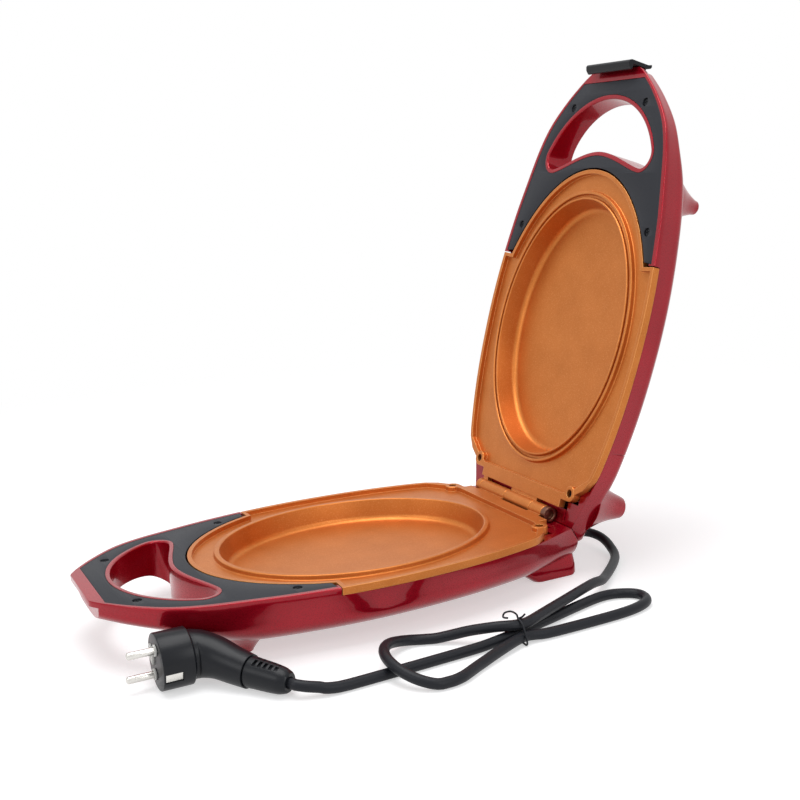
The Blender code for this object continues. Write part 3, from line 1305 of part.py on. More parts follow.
def make_plug(root, rubber, steel, pale):
    """The moulded plug: body, pins, earth clips, pale carrier and the slotted sleeve of the cord."""
    face = bpy.data.objects.new("plug_face", None)
    PARTS.objects.link(face)
    face.parent = root
    face.location = PLUG_FACE
    rings = [
        plug_ring(0, 0, 0, PLUG_RADIUS - PLUG_EDGE, 0, 0),
        plug_ring(0, PLUG_EDGE, 0, PLUG_RADIUS, 0, 0),
        plug_ring(0, PLUG_FRONT_LENGTH - 2 * PLUG_EDGE, 0, PLUG_RADIUS, 0, 0),
        plug_ring(0, PLUG_FRONT_LENGTH - PLUG_EDGE, 0, PLUG_RADIUS - PLUG_EDGE, 0, 0),
    ]
    rings += [plug_ring(*stop) for stop in PLUG_BODY]
    body = place("plug_body", loft(rings), face, rubber)
    rolled = Matrix.Rotation(PLUG_ROLL, 4, "Y")
    forwards = Matrix.Rotation(math.pi / 2, 4, "X")

    def add(name, mesh, material):
        mesh.transform(rolled)
        piece = place(name, mesh, face, material)
        smooth(piece)
        return piece

    def take(mesh):
        mesh.transform(rolled)
        cut(body, place("plug_cutter", mesh, face, cutter=True))

    for name, side_sign in (("upper", 1), ("lower", -1)):
        across = side_sign * PIN_PITCH / 2
        hole = cylinder_mesh(
            PLUG_PIN_RADIUS + RUNNING_GAP, -PLUG_PIN_SEAT - RUNNING_GAP, OVERRUN, SMALL_STEPS
        )
        take(at(hole, 0, 0, -across, forwards))
        profile = (
            (PLUG_PIN_RADIUS / 2, PLUG_PIN_LENGTH),
            (PLUG_PIN_RADIUS, PLUG_PIN_LENGTH - PLUG_PIN_RADIUS / 2),
            (PLUG_PIN_RADIUS, -PLUG_PIN_SEAT),
        )
        add(f"plug_pin_{name}", at(turned_mesh(profile, SMALL_STEPS), 0, 0, -across, forwards), steel)
        collar = (
            (COLLAR_RADIUS, COLLAR_LENGTH),
            (COLLAR_RADIUS, SEAT_GAP),
            (PLUG_PIN_RADIUS + RUNNING_GAP, SEAT_GAP),
            (PLUG_PIN_RADIUS + RUNNING_GAP, COLLAR_LENGTH),
        )
        add(f"plug_pin_collar_{name}", at(turned_mesh(collar, hollow=True), 0, 0, -across, forwards), pale)
    half_size = CARRIER_SIZE / 2
    gap = RUNNING_GAP
    low = (-CARRIER_OFFSET - half_size - gap, -OVERRUN, -half_size - gap)
    high = (-CARRIER_OFFSET + half_size + gap, CARRIER_DEPTH + gap, half_size + gap)
    take(box_mesh(low, high))
    low = (-CARRIER_OFFSET - half_size, -CARRIER_PROUD, -half_size)
    high = (-CARRIER_OFFSET + half_size, CARRIER_DEPTH, half_size)
    carrier = add("plug_earth_socket", box_mesh(low, high), pale)
    bore = cylinder_mesh(CARRIER_BORE, -OVERRUN, OVERRUN + CARRIER_DEPTH, SMALL_STEPS)
    bore = at(bore, -CARRIER_OFFSET, 0, 0, forwards)
    bore.transform(rolled)
    cut(carrier, place("carrier_bore", bore, face, cutter=True))
    for name, side_sign in (("outer", 1), ("inner", -1)):
        reach = PLUG_RADIUS + OVERRUN
        inner_face = PLUG_RADIUS - 2 * CLIP_THICKNESS
        slot = sorted((side_sign * (inner_face - gap), side_sign * reach))
        take(
            box_mesh(
                (slot[0], CLIP_BACK - gap, -CLIP_WIDTH / 2 - gap),
                (slot[1], CLIP_BACK + CLIP_LENGTH + gap, CLIP_WIDTH / 2 + gap),
            )
        )
        strip = sorted((side_sign * inner_face, side_sign * (inner_face + CLIP_THICKNESS)))
        clip = box_mesh(
            (strip[0], CLIP_BACK, -CLIP_WIDTH / 2), (strip[1], CLIP_BACK + CLIP_LENGTH, CLIP_WIDTH / 2)
        )
        add(f"plug_earth_clip_{name}", clip, steel)
    smooth(body)
    make_sleeve(root, rubber)


def make_sleeve(root, rubber):
    """The slotted sleeve that keeps the cord from kinking at the plug."""
    start, end = Vector(SLEEVE_START), Vector(SLEEVE_END)
    along = end - start
    turn = along.to_track_quat("Z", "Y").to_matrix().to_4x4()
    length = along.length
    bore = CORD_RADIUS + SEAT_GAP
    profile = [(radius, length * share) for radius, share in zip(SLEEVE_RADII, SLEEVE_STOP_SHARES)]
    profile = list(reversed(profile)) + [(bore, 0), (bore, length)]
    mesh = turned_mesh(profile, hollow=True)
    sleeve = bpy.data.objects.new("sleeve_axis", None)
    PARTS.objects.link(sleeve)
    sleeve.parent = root
    sleeve.location = start
    sleeve.rotation_mode = "QUATERNION"
    sleeve.rotation_quaternion = turn.to_quaternion()
    piece = place("plug_cord_sleeve", mesh, sleeve, rubber)
    pitch = length * (SLEEVE_STOP_SHARES[2] - SLEEVE_STOP_SHARES[1]) / SLEEVE_SLOTS
    first = length * SLEEVE_STOP_SHARES[1] + pitch / 2
    radius = SLEEVE_RADII[0]
    for i in range(SLEEVE_SLOTS):
        middle = first + i * pitch
        for across in (1, -1):
            for rise in (1, -1):
                outer = sorted((across * (radius - SLOT_DEPTH), across * (radius + OVERRUN)))
                low = rise * SLOT_HEIGHT * SLOT_RISE_SHARE - SLOT_HEIGHT / 2
                slot = box_mesh(
                    (low, outer[0], middle - SLOT_WIDTH / 2),
                    (low + SLOT_HEIGHT, outer[1], middle + SLOT_WIDTH / 2),
                )
                cut(piece, place("sleeve_slot", slot, sleeve, cutter=True))
    smooth(piece)


def settle(root, soft_names):
    """Moves everything so that the middle of the box's underside, cord left out, is the origin."""
    bpy.context.view_layer.update()
    graph = bpy.context.evaluated_depsgraph_get()
    points = []
    for piece in PARTS.objects:
        if piece.type != "MESH" or piece.name in soft_names:
            continue
        shown = piece.evaluated_get(graph)
        points += [shown.matrix_world @ v.co for v in shown.to_mesh().vertices]
        shown.to_mesh_clear()
    low = Vector((min(p[i] for p in points) for i in range(3)))
    high = Vector((max(p[i] for p in points) for i in range(3)))
    root.location = (-(low.x + high.x) / 2, -(low.y + high.y) / 2, -low.z)


def main():
    red = finish("red_gloss_plastic", (0.42, 0.012, 0.022), 0.22, 0.25)
    charcoal = finish("charcoal_plastic", (0.045, 0.05, 0.055), 0.5)
    copper = finish("copper_non_stick", (0.62, 0.25, 0.06), 0.38, 0.55)
    steel = finish("steel", (0.55, 0.55, 0.56), 0.35, 1.0)
    bronze = finish("dark_bronze", (0.05, 0.03, 0.02), 0.4, 1.0)
    rubber = finish("black_rubber", (0.02, 0.02, 0.022), 0.55)
    black = finish("black_plastic", (0.02, 0.02, 0.022), 0.4)
    ceramic = finish("pale_ceramic", (0.8, 0.78, 0.72), 0.6)
    pale = finish("pale_plastic", (0.75, 0.74, 0.70), 0.5)
    amber = finish("amber_lens", (0.9, 0.35, 0.05), 0.1)
    glass = finish("lamp_glass", (0.9, 0.9, 0.88), 0.1)
    wires = {
        "live": finish("brown_insulation", (0.16, 0.06, 0.02), 0.5),
        "neutral": finish("blue_insulation", (0.02, 0.12, 0.45), 0.5),
        "earth": finish("green_insulation", (0.10, 0.42, 0.06), 0.5),
    }
    root = bpy.data.objects.new("base_frame", None)
    hinge = bpy.data.objects.new("hinge_axis", None)
    for empty in (root, hinge):
        PARTS.objects.link(empty)
    hinge.parent = root
    hinge.rotation_euler = (OPEN_ANGLE, math.pi, 0)
    base = Half("base", BASE_DEPTH, BASE_FOOT_DEPTH, 1, root)
    lid = Half("lid", LID_DEPTH, LID_FOOT_DEPTH, -1, hinge)
    for half in (base, lid):
        make_shell(half, red)
        make_panel(half, charcoal)
        make_plate(half, copper)
        make_screws(half, steel)
        make_heating(half, steel, steel)
    make_thermostat(base, steel, ceramic)
    make_wiring(base, rubber, ceramic, steel, wires)
    make_hinge_pin(root, bronze)
    make_lamps(lid, amber, glass)
    make_latch(lid, black, steel)
    make_cord(root, rubber)
    make_plug(root, black, steel, pale)
    settle(root, {p.name for p in PARTS.objects if p.name.startswith(("plug_", "power_cord", "cord_tie"))})


clear_scene()
PARTS = new_collection(COLLECTION_NAME)
CUTTERS = new_collection("cutters")
main()
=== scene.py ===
"""Looks of a folding electric frying pan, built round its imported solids.

Two glossy red shells stand open on a cast hinge. Each holds a copper-coloured oval pan and a charcoal
handle panel. Both halves are drawn the same way, in a frame of their own: the hinge axis is the X axis,
the handle lies towards -Y, and the parting plane is z = 0. A matrix then puts each half in its place.
Lengths are in metres. "Forward" is the distance from the hinge towards the handle, "down" from z = 0.
"""

import logging
import math
from collections.abc import Iterable, Sequence
from dataclasses import dataclass
from enum import Enum
from typing import Union

import bmesh
import bpy
from mathutils import Euler, Matrix, Vector


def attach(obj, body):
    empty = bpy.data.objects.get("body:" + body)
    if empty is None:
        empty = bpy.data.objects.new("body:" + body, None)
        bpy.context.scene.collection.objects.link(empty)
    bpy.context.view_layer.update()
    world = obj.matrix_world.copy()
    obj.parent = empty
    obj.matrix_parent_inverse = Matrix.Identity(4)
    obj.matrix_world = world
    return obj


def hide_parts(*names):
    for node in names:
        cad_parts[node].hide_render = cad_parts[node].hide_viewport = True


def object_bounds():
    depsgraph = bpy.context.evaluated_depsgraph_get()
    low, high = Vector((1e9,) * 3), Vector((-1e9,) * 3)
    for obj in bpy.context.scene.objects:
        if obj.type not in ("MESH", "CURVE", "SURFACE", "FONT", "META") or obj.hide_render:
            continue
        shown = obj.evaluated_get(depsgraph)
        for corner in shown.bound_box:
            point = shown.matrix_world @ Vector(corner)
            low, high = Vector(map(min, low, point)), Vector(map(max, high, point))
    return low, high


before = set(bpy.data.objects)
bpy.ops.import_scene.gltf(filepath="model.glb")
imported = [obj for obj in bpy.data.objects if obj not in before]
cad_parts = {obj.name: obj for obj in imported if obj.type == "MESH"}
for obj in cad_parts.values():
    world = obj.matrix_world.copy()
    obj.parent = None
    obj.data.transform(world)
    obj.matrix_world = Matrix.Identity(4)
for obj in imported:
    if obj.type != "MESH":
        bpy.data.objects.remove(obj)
CAD_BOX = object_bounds()
LOG = logging.getLogger("frying_pan")

Amount = Union["Value", float]
Colour = tuple[float, float, float]
Rows = tuple[tuple[float, ...], ...]
Outline = list[tuple[float, float]]
Ring = list[Vector]
Mesh = bpy.types.Mesh
Piece = bpy.types.Object

ORIGIN = Vector((0, 0.106371, 0.046))
HERE = Matrix.Translation(ORIGIN)
OPEN_ANGLE = math.radians(107.5)
QUARTER = math.pi / 2
SIDEWAYS = Matrix.Rotation(QUARTER, 4, "Y")
FORWARDS = Matrix.Rotation(QUARTER, 4, "X")
BACKWARDS = Matrix.Rotation(-QUARTER, 4, "X")
SIDES = (("right", 1), ("left", -1))
WHITE = (1, 1, 1, 1)
TINY = 0.00001


class Body(Enum):
    """The bodies that pieces ride on."""

    BASE = "base"
    LID = "lid"
    LATCH = "latch"


# Shader helpers


class Value:
    """A node's output that can be used in expressions."""

    def __init__(self, sheet: "Sheet", socket: bpy.types.NodeSocket) -> None:
        """Wraps a socket of one sheet."""
        self.sheet = sheet
        self.socket = socket

    def maths(self, operation: str, first: Amount, second: Amount) -> "Value":
        """A Math node on two numbers."""
        return self.sheet.node("Math", {"operation": operation}, {0: first, 1: second})

    def __add__(self, other: Amount) -> "Value":
        """Sum."""
        return self.maths("ADD", self, other)

    __radd__ = __add__

    def __sub__(self, other: Amount) -> "Value":
        """Difference."""
        return self.maths("SUBTRACT", self, other)

    def __rsub__(self, other: float) -> "Value":
        """Difference from a number."""
        return self.maths("SUBTRACT", other, self)

    def __mul__(self, other: Amount) -> "Value":
        """Product."""
        return self.maths("MULTIPLY", self, other)

    __rmul__ = __mul__

    def __pow__(self, power: float) -> "Value":
        """Power."""
        return self.maths("POWER", self, power)

    def clamped(self) -> "Value":
        """The value held between 0 and 1."""
        return self.sheet.node("Clamp", {}, {"Value": self})


class Sheet:
    """The node tree of one finish, of the floor or of the world."""

    def __init__(self, owner: bpy.types.Material | bpy.types.World) -> None:
        """Opens the tree of a new material or world.

        Args:
            owner: the material or world.
        """
        owner.use_nodes = True
        self.owner = owner
        self.tree = owner.node_tree
        self.shader = self.tree.nodes.get("Principled BSDF")

    def feed(self, socket: bpy.types.NodeSocket, value: object) -> None:
        """Gives a socket a link or a plain value.

        Args:
            socket: the socket to fill.
            value: a node's output, or a number, colour or vector.
        """
        if isinstance(value, Value):
            self.tree.links.new(value.socket, socket)
        else:
            socket.default_value = value

    def node(
        self, kind: str, settings: dict | None = None, values: dict | None = None, output: int | str = 0
    ) -> Value:
        """Adds a node.

        Args:
            kind: the node's type without its ShaderNode prefix.
            settings: properties, set first.
            values: plain values or links by socket name or index.
            output: which output to return.

        Returns:
            The node's output.
        """
        made = self.tree.nodes.new("ShaderNode" + kind)
        for key, setting in (settings or {}).items():
            setattr(made, key, setting)
        for key, value in (values or {}).items():
            self.feed(made.inputs[key], value)
        return Value(self, made.outputs[output])

    def place(self) -> Value:
        """The point on the piece, in metres."""
        return self.node("TexCoord", output="Object")

    def noise(self, size: float, detail: float = 2.0, stretch: Colour | None = None) -> Value:
        """Makes soft noise over the piece.

        Args:
            size: how wide its features are.
            detail: how many finer layers it has.
            stretch: a factor for each axis.

        Returns:
            The noise, from 0 to 1.
        """
        where = self.place()
        if stretch:
            where = self.node("VectorMath", {"operation": "MULTIPLY"}, {0: where, 1: stretch})
        return self.node("TexNoise", {}, {"Vector": where, "Scale": 1 / size, "Detail": detail})

    def grains(self, size: float) -> Value:
        """A random number from 0 to 1 in each small cell."""
        cell = self.node("TexVoronoi", {}, {"Vector": self.place(), "Scale": 1 / size}, "Color")
        return self.node("SeparateColor", {}, {"Color": cell}, "Red")

    def blend(self, mask: Amount, low: Colour | Value, high: Colour | Value) -> Value:
        """A colour between two, by a mask."""
        ends = [value if isinstance(value, Value) else (*value, 1.0) for value in (low, high)]
        return self.node("Mix", {"data_type": "RGBA"}, {0: mask, 6: ends[0], 7: ends[1]}, 2)

    def rounded(self, radius: float) -> Value:
        """Normals as if each sharp edge had a small round."""
        return self.node("Bevel", {"samples": 6}, {"Radius": radius})

    def edges(self, radius: float, gain: float = 6.0) -> Value:
        """A mask that is 1 on sharp edges and 0 on flats."""
        both = {0: self.rounded(radius), 1: self.node("NewGeometry", output="Normal")}
        return ((1 - self.node("VectorMath", {"operation": "DOT_PRODUCT"}, both, "Value")) * gain).clamped()

    def seen(self) -> Value:
        """1 for rays from the camera and for mirrored or passed ones, and 0 for light on the pan."""
        rays = [self.node("LightPath", output=f"Is {k} Ray") for k in ("Camera", "Glossy", "Transmission")]
        return (rays[0] + rays[1] + rays[2]).clamped()

    def relief(self, height: Value, depth: float, strength: float, edge: float) -> None:
        """Feeds the shader's Normal from a height map over rounded edges.

        Args:
            height: the height, from 0 to 1.
            depth: metres between 0 and 1.
            strength: how much of it shows.
            edge: radius of the rounded edges.
        """
        values = {"Height": height, "Distance": depth, "Strength": strength, "Normal": self.rounded(edge)}
        self.set(Normal=self.node("Bump", {}, values))

    def set(self, **values: object) -> None:
        """Plain values or links into the shader's sockets, with underscores for spaces."""
        for key, value in values.items():
            self.feed(self.shader.inputs[key.replace("_", " ")], value)

    def show(self, shader: Value) -> None:
        """Links a shader to the tree's output."""
        output = next(node for node in self.tree.nodes if node.type.startswith("OUTPUT"))
        self.feed(output.inputs["Surface"], shader)


# Finishes


@dataclass(frozen=True)
class Finish:
    """A finish in one colour, a little uneven, with fine relief and softly rounded edges."""

    name: str
    colour: Colour
    rough: tuple[float, float]
    metallic: float = 0.0
    slot: str = ""
    tones: tuple[float, float] = (0.88, 1.08)
    cloud: float = 0.018
    grain: float = 0.0006
    detail: float = 2.0
    stretch: Colour | None = None
    depth: float = 0.00003
    strength: float = 0.5
    edge: float = 0.0004
    specular: float = 0.22
    coat: float = 0.0
    coat_rough: float = 0.03
    through: float = 0.0

    def tone(self, factor: float) -> Colour:
        """The colour, darker or paler."""
        return tuple(min(c * factor, 1.0) for c in self.colour)

    def roughness(self, mask: Value) -> Value:
        """Roughness between its two ends."""
        return mask * (self.rough[1] - self.rough[0]) + self.rough[0]

    def material(self) -> bpy.types.Material:
        """Makes the finish's material on first use.

        Returns:
            The material.
        """
        found = bpy.data.materials.get(self.name)
        if found:
            return found
        sheet = Sheet(bpy.data.materials.new(self.name))
        colour, roughness, height = self.paint(sheet)
        sheet.set(Base_Color=colour, Roughness=roughness, Metallic=self.metallic)
        sheet.set(Specular_IOR_Level=self.specular, Transmission_Weight=self.through)
        sheet.set(Coat_Weight=self.coat, Coat_Roughness=self.coat_rough)
        sheet.relief(height, self.depth, self.strength, self.edge)
        sheet.owner.diffuse_color = (*self.colour, 1.0)
        return sheet.owner

    def paint(self, sheet: Sheet) -> tuple[Value, Value, Value]:
        """Two tones in soft clouds over a fine grain.

        Args:
            sheet: the material's nodes.

        Returns:
            Colour, roughness and height.
        """
        fine = sheet.noise(self.grain, self.detail, self.stretch)
        body = sheet.blend(sheet.noise(self.cloud), self.tone(self.tones[0]), self.tone(self.tones[1]))
        return body, self.roughness(fine), fine


@dataclass(frozen=True)
class GlossRed(Finish):
    """Red lacquer with fine metal flake under a polished clear coat."""

    cloud: float = 0.05
    grain: float = 0.004
    strength: float = 0.25
    edge: float = 0.0008
    specular: float = 0.05
    coat: float = 0.52
    coat_rough: float = 0.05
    deep: Colour = (0.24, 0.001, 0.008)
    flake: float = 0.00035
    shares: tuple[float, float] = (0.22, 0.75)

    def paint(self, sheet: Sheet) -> tuple[Value, Value, Value]:
        """Flake in colour and roughness over a faint orange peel.

        Args:
            sheet: the material's nodes.

        Returns:
            Colour, roughness and height.
        """
        flake = sheet.grains(self.flake)
        mask = (flake * flake * self.shares[0] + sheet.noise(self.cloud) * self.shares[1]).clamped()
        return sheet.blend(mask, self.deep, self.colour), self.roughness(flake), sheet.noise(self.grain)


@dataclass(frozen=True)
class CopperCoat(Finish):
    """Cast aluminium under a copper-coloured non-stick coat with fine sparkle."""

    cloud: float = 0.022
    grain: float = 0.0009
    detail: float = 3.0
    depth: float = 0.00004
    strength: float = 0.35
    edge: float = 0.0006
    specular: float = 0.3
    deep: Colour = (0.46, 0.135, 0.022)
    # colour of the painted glints and of the painted edge highlight
    bright: Colour = (0.95, 0.52, 0.20)
    sparkle: float = 0.00045
    shares: tuple[float, float] = (0.7, 0.12)
    glint: tuple[float, float] = (10.0, 0.22)
    edge_highlight: float = 0.55
    polish: float = 0.04
    bump: float = 0.4

    def paint(self, sheet: Sheet) -> tuple[Value, Value, Value]:
        """Cloudy spray and sparkle grains over a fine sprayed texture; the brightest grains get painted glints
        and sharp edges a paler painted highlight.

        Args:
            sheet: the material's nodes.

        Returns:
            Colour, roughness and height.
        """
        sparkle = sheet.grains(self.sparkle)
        cloud, fine = (sheet.noise(size, self.detail) for size in (self.cloud, self.grain))
        mask = (cloud * self.shares[0] + sparkle * self.shares[1]).clamped()
        body = sheet.blend(mask, self.deep, self.colour)
        # painted glints: the brightest sparkle grains are pushed towards the bright colour
        body = sheet.blend((sparkle ** self.glint[0] * self.glint[1]).clamped(), body, self.bright)
        # painted highlight: sharp edges are made paler, as if they caught the light
        body = sheet.blend(sheet.edges(self.edge) * self.edge_highlight, body, self.bright)
        return body, self.roughness(fine) - sparkle * self.polish, fine + sparkle * self.bump


@dataclass(frozen=True)
class GrainedCharcoal(Finish):
    """Moulded charcoal plastic with a fine leather-like spark grain."""

    # the second tone is the paler colour of the painted edge highlight
    tones: tuple[float, float] = (0.8, 1.9)
    cloud: float = 0.03
    grain: float = 0.0007
    detail: float = 4.0
    depth: float = 0.00008
    strength: float = 0.6
    share: float = 0.4
    edge_highlight: float = 0.5

    def paint(self, sheet: Sheet) -> tuple[Value, Value, Value]:
        """Spark grain in relief and roughness, edges painted paler as a highlight.

        Args:
            sheet: the material's nodes.

        Returns:
            Colour, roughness and height.
        """
        fine = sheet.noise(self.grain, self.detail)
        mask = (fine * self.share + sheet.noise(self.cloud) * self.share).clamped()
        body = sheet.blend(mask, self.tone(self.tones[0]), self.colour)
        # painted highlight: sharp edges are made paler, as if they caught the light
        body = sheet.blend(sheet.edges(self.edge) * self.edge_highlight, body, self.tone(self.tones[1]))
        return body, self.roughness(fine), fine


@dataclass(frozen=True)
class DrawnMetal(Finish):
    """Bare metal with fine marks along one direction."""

    tones: tuple[float, float] = (0.75, 1.0)
    cloud: float = 0.006
    grain: float = 0.0004
    detail: float = 3.0
    stretch: Colour = (1.0, 1.0, 0.05)
    depth: float = 0.00002
    specular: float = 0.5


@dataclass(frozen=True)
class ClearTint(Finish):
    """Clear tinted plastic or glass with moulding ripples."""

    tones: tuple[float, float] = (0.7, 1.0)
    cloud: float = 0.002
    grain: float = 0.002
    depth: float = 0.00002
    strength: float = 0.3
    specular: float = 0.5
    coat: float = 0.6
    through: float = 0.6


RED = GlossRed("gloss_red", (0.47, 0.003, 0.017), (0.26, 0.32), 0.5, "red_gloss_plastic")
COPPER = CopperCoat("copper_coat", (0.66, 0.225, 0.052), (0.38, 0.48), 0.7, "copper_non_stick")
CHARCOAL = GrainedCharcoal("grained_charcoal", (0.025, 0.027, 0.034), (0.42, 0.64), 0.0, "charcoal_plastic")
STEEL = DrawnMetal("plain_steel", (0.62, 0.62, 0.63), (0.26, 0.46), 1.0, "steel")
SCREW_STEEL = DrawnMetal("blackened_screw", (0.028, 0.030, 0.035), (0.30, 0.50), 0.9, "steel")
BRONZE = DrawnMetal("dark_bronze_pin", (0.20, 0.095, 0.065), (0.24, 0.44), 1.0, "dark_bronze")
NICKEL = DrawnMetal("nickel_pin", (0.74, 0.72, 0.68), (0.16, 0.36), 1.0, "steel")
RUBBER = Finish("cord_rubber", (0.011, 0.012, 0.016), (0.374, 0.506), slot="black_rubber", depth=0.00004)
BLACK = Finish("moulded_black", (0.009, 0.010, 0.013), (0.272, 0.368), slot="black_plastic", edge=0.0007)
PALE = Finish("pale_moulding", (0.70, 0.70, 0.67), (0.357, 0.483), slot="pale_plastic")
CERAMIC = Finish("pale_ceramic_body", (0.78, 0.75, 0.68), (0.4675, 0.6325), slot="pale_ceramic")
AMBER = ClearTint("amber_window", (0.85, 0.30, 0.03), (0.10, 0.15), slot="amber_lens")
LAMP_GLASS = ClearTint("lamp_bulb", (0.92, 0.84, 0.74), (0.06, 0.11), slot="lamp_glass", through=0.9)
BROWN = Finish("brown_wire", (0.16, 0.06, 0.02), (0.3825, 0.5175), slot="brown_insulation")
BLUE = Finish("blue_wire", (0.02, 0.12, 0.45), (0.3825, 0.5175), slot="blue_insulation")
GREEN = Finish("green_wire", (0.10, 0.42, 0.06), (0.3825, 0.5175), slot="green_insulation")


# Lines and outlines


def spread(start: float, end: float, steps: int) -> list[float]:
    """Evenly spaced values from start to end, both included."""
    return [start + (end - start) * i / steps for i in range(steps + 1)]


def arc(
    x: float, y: float, wide: float, start: float, end: float, steps: int, long: float | None = None
) -> Outline:
    """Points on an arc about (x, y), of an oval where long is given."""
    long = wide if long is None else long
    return [(x + wide * math.cos(a), y + long * math.sin(a)) for a in spread(start, end, steps)]


def circle(radius: float, steps: int) -> Outline:
    """Points round a circle."""
    return arc(0, 0, radius, 0, 2 * math.pi, steps)[:-1]


def round_over(x: float, y: float, by_x: float, by_y: float, steps: int) -> Outline:
    """Points round a corner, from (x + by_x, y) to (x, y + by_y)."""
    return [(x + by_x * (1 - math.sin(a)), y + by_y * (1 - math.cos(a))) for a in spread(0, QUARTER, steps)]


def swapped(points: Outline) -> Outline:
    """The points with their two numbers exchanged."""
    return [(y, x) for x, y in points]


def both_sides(right: Outline) -> Outline:
    """A closed outline from the points of its right side, which run from the rear to the front."""
    return right + [(-x, y) for x, y in reversed(right) if x > 0]


def raised(outline: Iterable[tuple[float, float]], height: float) -> Ring:
    """The outline as points at one height."""
    return [Vector((x, y, height)) for x, y in outline]


def grown(outline: Outline, by: float) -> Outline:
    """Moves an outline outwards along its own normals.

    Args:
        outline: the closed outline.
        by: how far it moves.

    Returns:
        The larger outline.
    """
    following = outline[1:] + outline[:1]
    turn = 1 if sum(x * after[1] - after[0] * y for (x, y), after in zip(outline, following)) > 0 else -1
    result = []
    for i, (x, y) in enumerate(outline):
        along = (Vector(following[i]) - Vector(outline[i - 1])).normalized()
        result.append((x + turn * along.y * by, y - turn * along.x * by))
    return result


def curve_through(table: Sequence[tuple[float, float]], at: float) -> float:
    """Reads a smooth curve through (place, value) rows.

    Args:
        table: the rows, by rising place.
        at: the place to read, held inside the table.

    Returns:
        The curve's value there.
    """
    places, values = zip(*table)
    at = min(max(at, places[0]), places[-1])
    low = max(i for i in range(len(places) - 1) if places[i] <= at)
    span, rise = places[low + 1] - places[low], values[low + 1] - values[low]
    slopes = []
    for i in (low, low + 1):
        before, after = max(i - 1, 0), min(i + 1, len(places) - 1)
        slopes.append((values[after] - values[before]) / (places[after] - places[before]) * span)
    start, end = slopes
    t = (at - places[low]) / span
    return values[low] + t * start + t * t * (3 * rise - 2 * start - end) + t**3 * (start + end - 2 * rise)


def smooth_path(points: Sequence[Sequence[float]], steps: int) -> list[Vector]:
    """Draws a smooth curve through points.

    Args:
        points: the curve's own points.
        steps: how many pieces each stretch is cut into.

    Returns:
        The points of the path, the last own point included.
    """
    own = [Vector(p) for p in points]
    path = []
    for i in range(len(own) - 1):
        before, start = own[max(i - 1, 0)], own[i]
        end, after = own[i + 1], own[min(i + 2, len(own) - 1)]
        leave, arrive = (end - before) / 2, (after - start) / 2
        for t in spread(0, 1, steps)[:-1]:
            ends = start * (2 * t**3 - 3 * t * t + 1) + leave * (t**3 - 2 * t * t + t)
            path.append(ends + end * (3 * t * t - 2 * t**3) + arrive * (t**3 - t * t))
    return path + [own[-1]]


# Mesh helpers


def put(name: str, data: bpy.types.ID) -> Piece:
    """Puts a new object in the scene.

    Args:
        name: its name.
        data: its mesh, curve, light or camera.

    Returns:
        The object.
    """
    made = bpy.data.objects.new(name, data)
    bpy.context.scene.collection.objects.link(made)
    return made


def mesh_of(fill: bmesh.types.BMesh) -> Mesh:
    """Turns a bmesh into a mesh with its faces outwards.

    Args:
        fill: the bmesh, which is freed.

    Returns:
        The mesh.
    """
    bmesh.ops.recalc_face_normals(fill, faces=fill.faces)
    mesh = bpy.data.meshes.new("form")
    fill.to_mesh(mesh)
    fill.free()
    return mesh


def loft(rings: Sequence[Ring], closed: bool = False) -> Mesh:
    """Joins rings of points.

    Args:
        rings: the rings, with as many points each.
        closed: whether the last joins the first, in place of flat ends.

    Returns:
        A closed mesh.
    """
    bm = bmesh.new()
    rows = [[bm.verts.new(point) for point in ring] for ring in rings]
    for row, after in zip(rows, rows[1:] + rows[:1] if closed else rows[1:]):
        for i in range(len(row)):
            j = (i + 1) % len(row)
            bm.faces.new((row[i], row[j], after[j], after[i]))
    if not closed:
        bm.faces.new(rows[0])
        bm.faces.new(list(reversed(rows[-1])))
    return mesh_of(bm)


def turned(profile: Sequence[tuple[float, float]], steps: int = 48, hollow: bool = False) -> Mesh:
    """Turns a profile about Z.

    Args:
        profile: (radius, height) points.
        steps: how many sides the body has.
        hollow: whether the profile runs round on itself.

    Returns:
        A closed mesh.
    """
    bm = bmesh.new()
    rows = []
    for radius, height in profile:
        points = raised(circle(radius, steps), height) if radius else [Vector((0, 0, height))]
        rows.append([bm.verts.new(point) for point in points])
    for row, after in zip(rows, rows[1:] + rows[:1] if hollow else rows[1:]):
        for i in range(steps):
            j = (i + 1) % steps
            around = [row[i % len(row)], row[j % len(row)], after[j % len(after)], after[i % len(after)]]
            bm.faces.new(list(dict.fromkeys(around)))
    for row in () if hollow else (rows[0], rows[-1]):
        if len(row) > 1:
            bm.faces.new(row)
    return mesh_of(bm)


def cylinder(radius: float, low: float, high: float, steps: int = 48) -> Mesh:
    """A cylinder along Z."""
    return turned(((radius, high), (radius, low)), steps)


def block(low: Sequence[float], high: Sequence[float]) -> Mesh:
    """Makes a box.

    Args:
        low: its lowest corner.
        high: its highest corner.

    Returns:
        The box's mesh.
    """
    bm = bmesh.new()
    bmesh.ops.create_cube(bm, size=1)
    bmesh.ops.scale(bm, vec=[b - a for a, b in zip(low, high)], verts=bm.verts)
    bmesh.ops.translate(bm, vec=[(a + b) / 2 for a, b in zip(low, high)], verts=bm.verts)
    return mesh_of(bm)


def from_curve(lines: Iterable[Ring], cyclic: bool, **settings: object) -> Mesh:
    """Fills or thickens a curve, its caps welded.

    Args:
        lines: the points of each line.
        cyclic: whether each line is closed.
        settings: the curve's properties.

    Returns:
        The mesh.
    """
    curve = bpy.data.curves.new("curve", "CURVE")
    for key, setting in settings.items():
        setattr(curve, key, setting)
    for line in lines:
        spline = curve.splines.new("POLY")
        spline.points.add(len(line) - 1)
        for point, at in zip(spline.points, line):
            point.co = (*at, 1)
        spline.use_cyclic_u = cyclic
    holder = put("curve", curve)
    graph = bpy.context.evaluated_depsgraph_get()
    bm = bmesh.new()
    bm.from_mesh(holder.evaluated_get(graph).to_mesh())
    bpy.data.objects.remove(holder, do_unlink=True)
    bmesh.ops.remove_doubles(bm, verts=bm.verts, dist=0.000001)
    return mesh_of(bm)


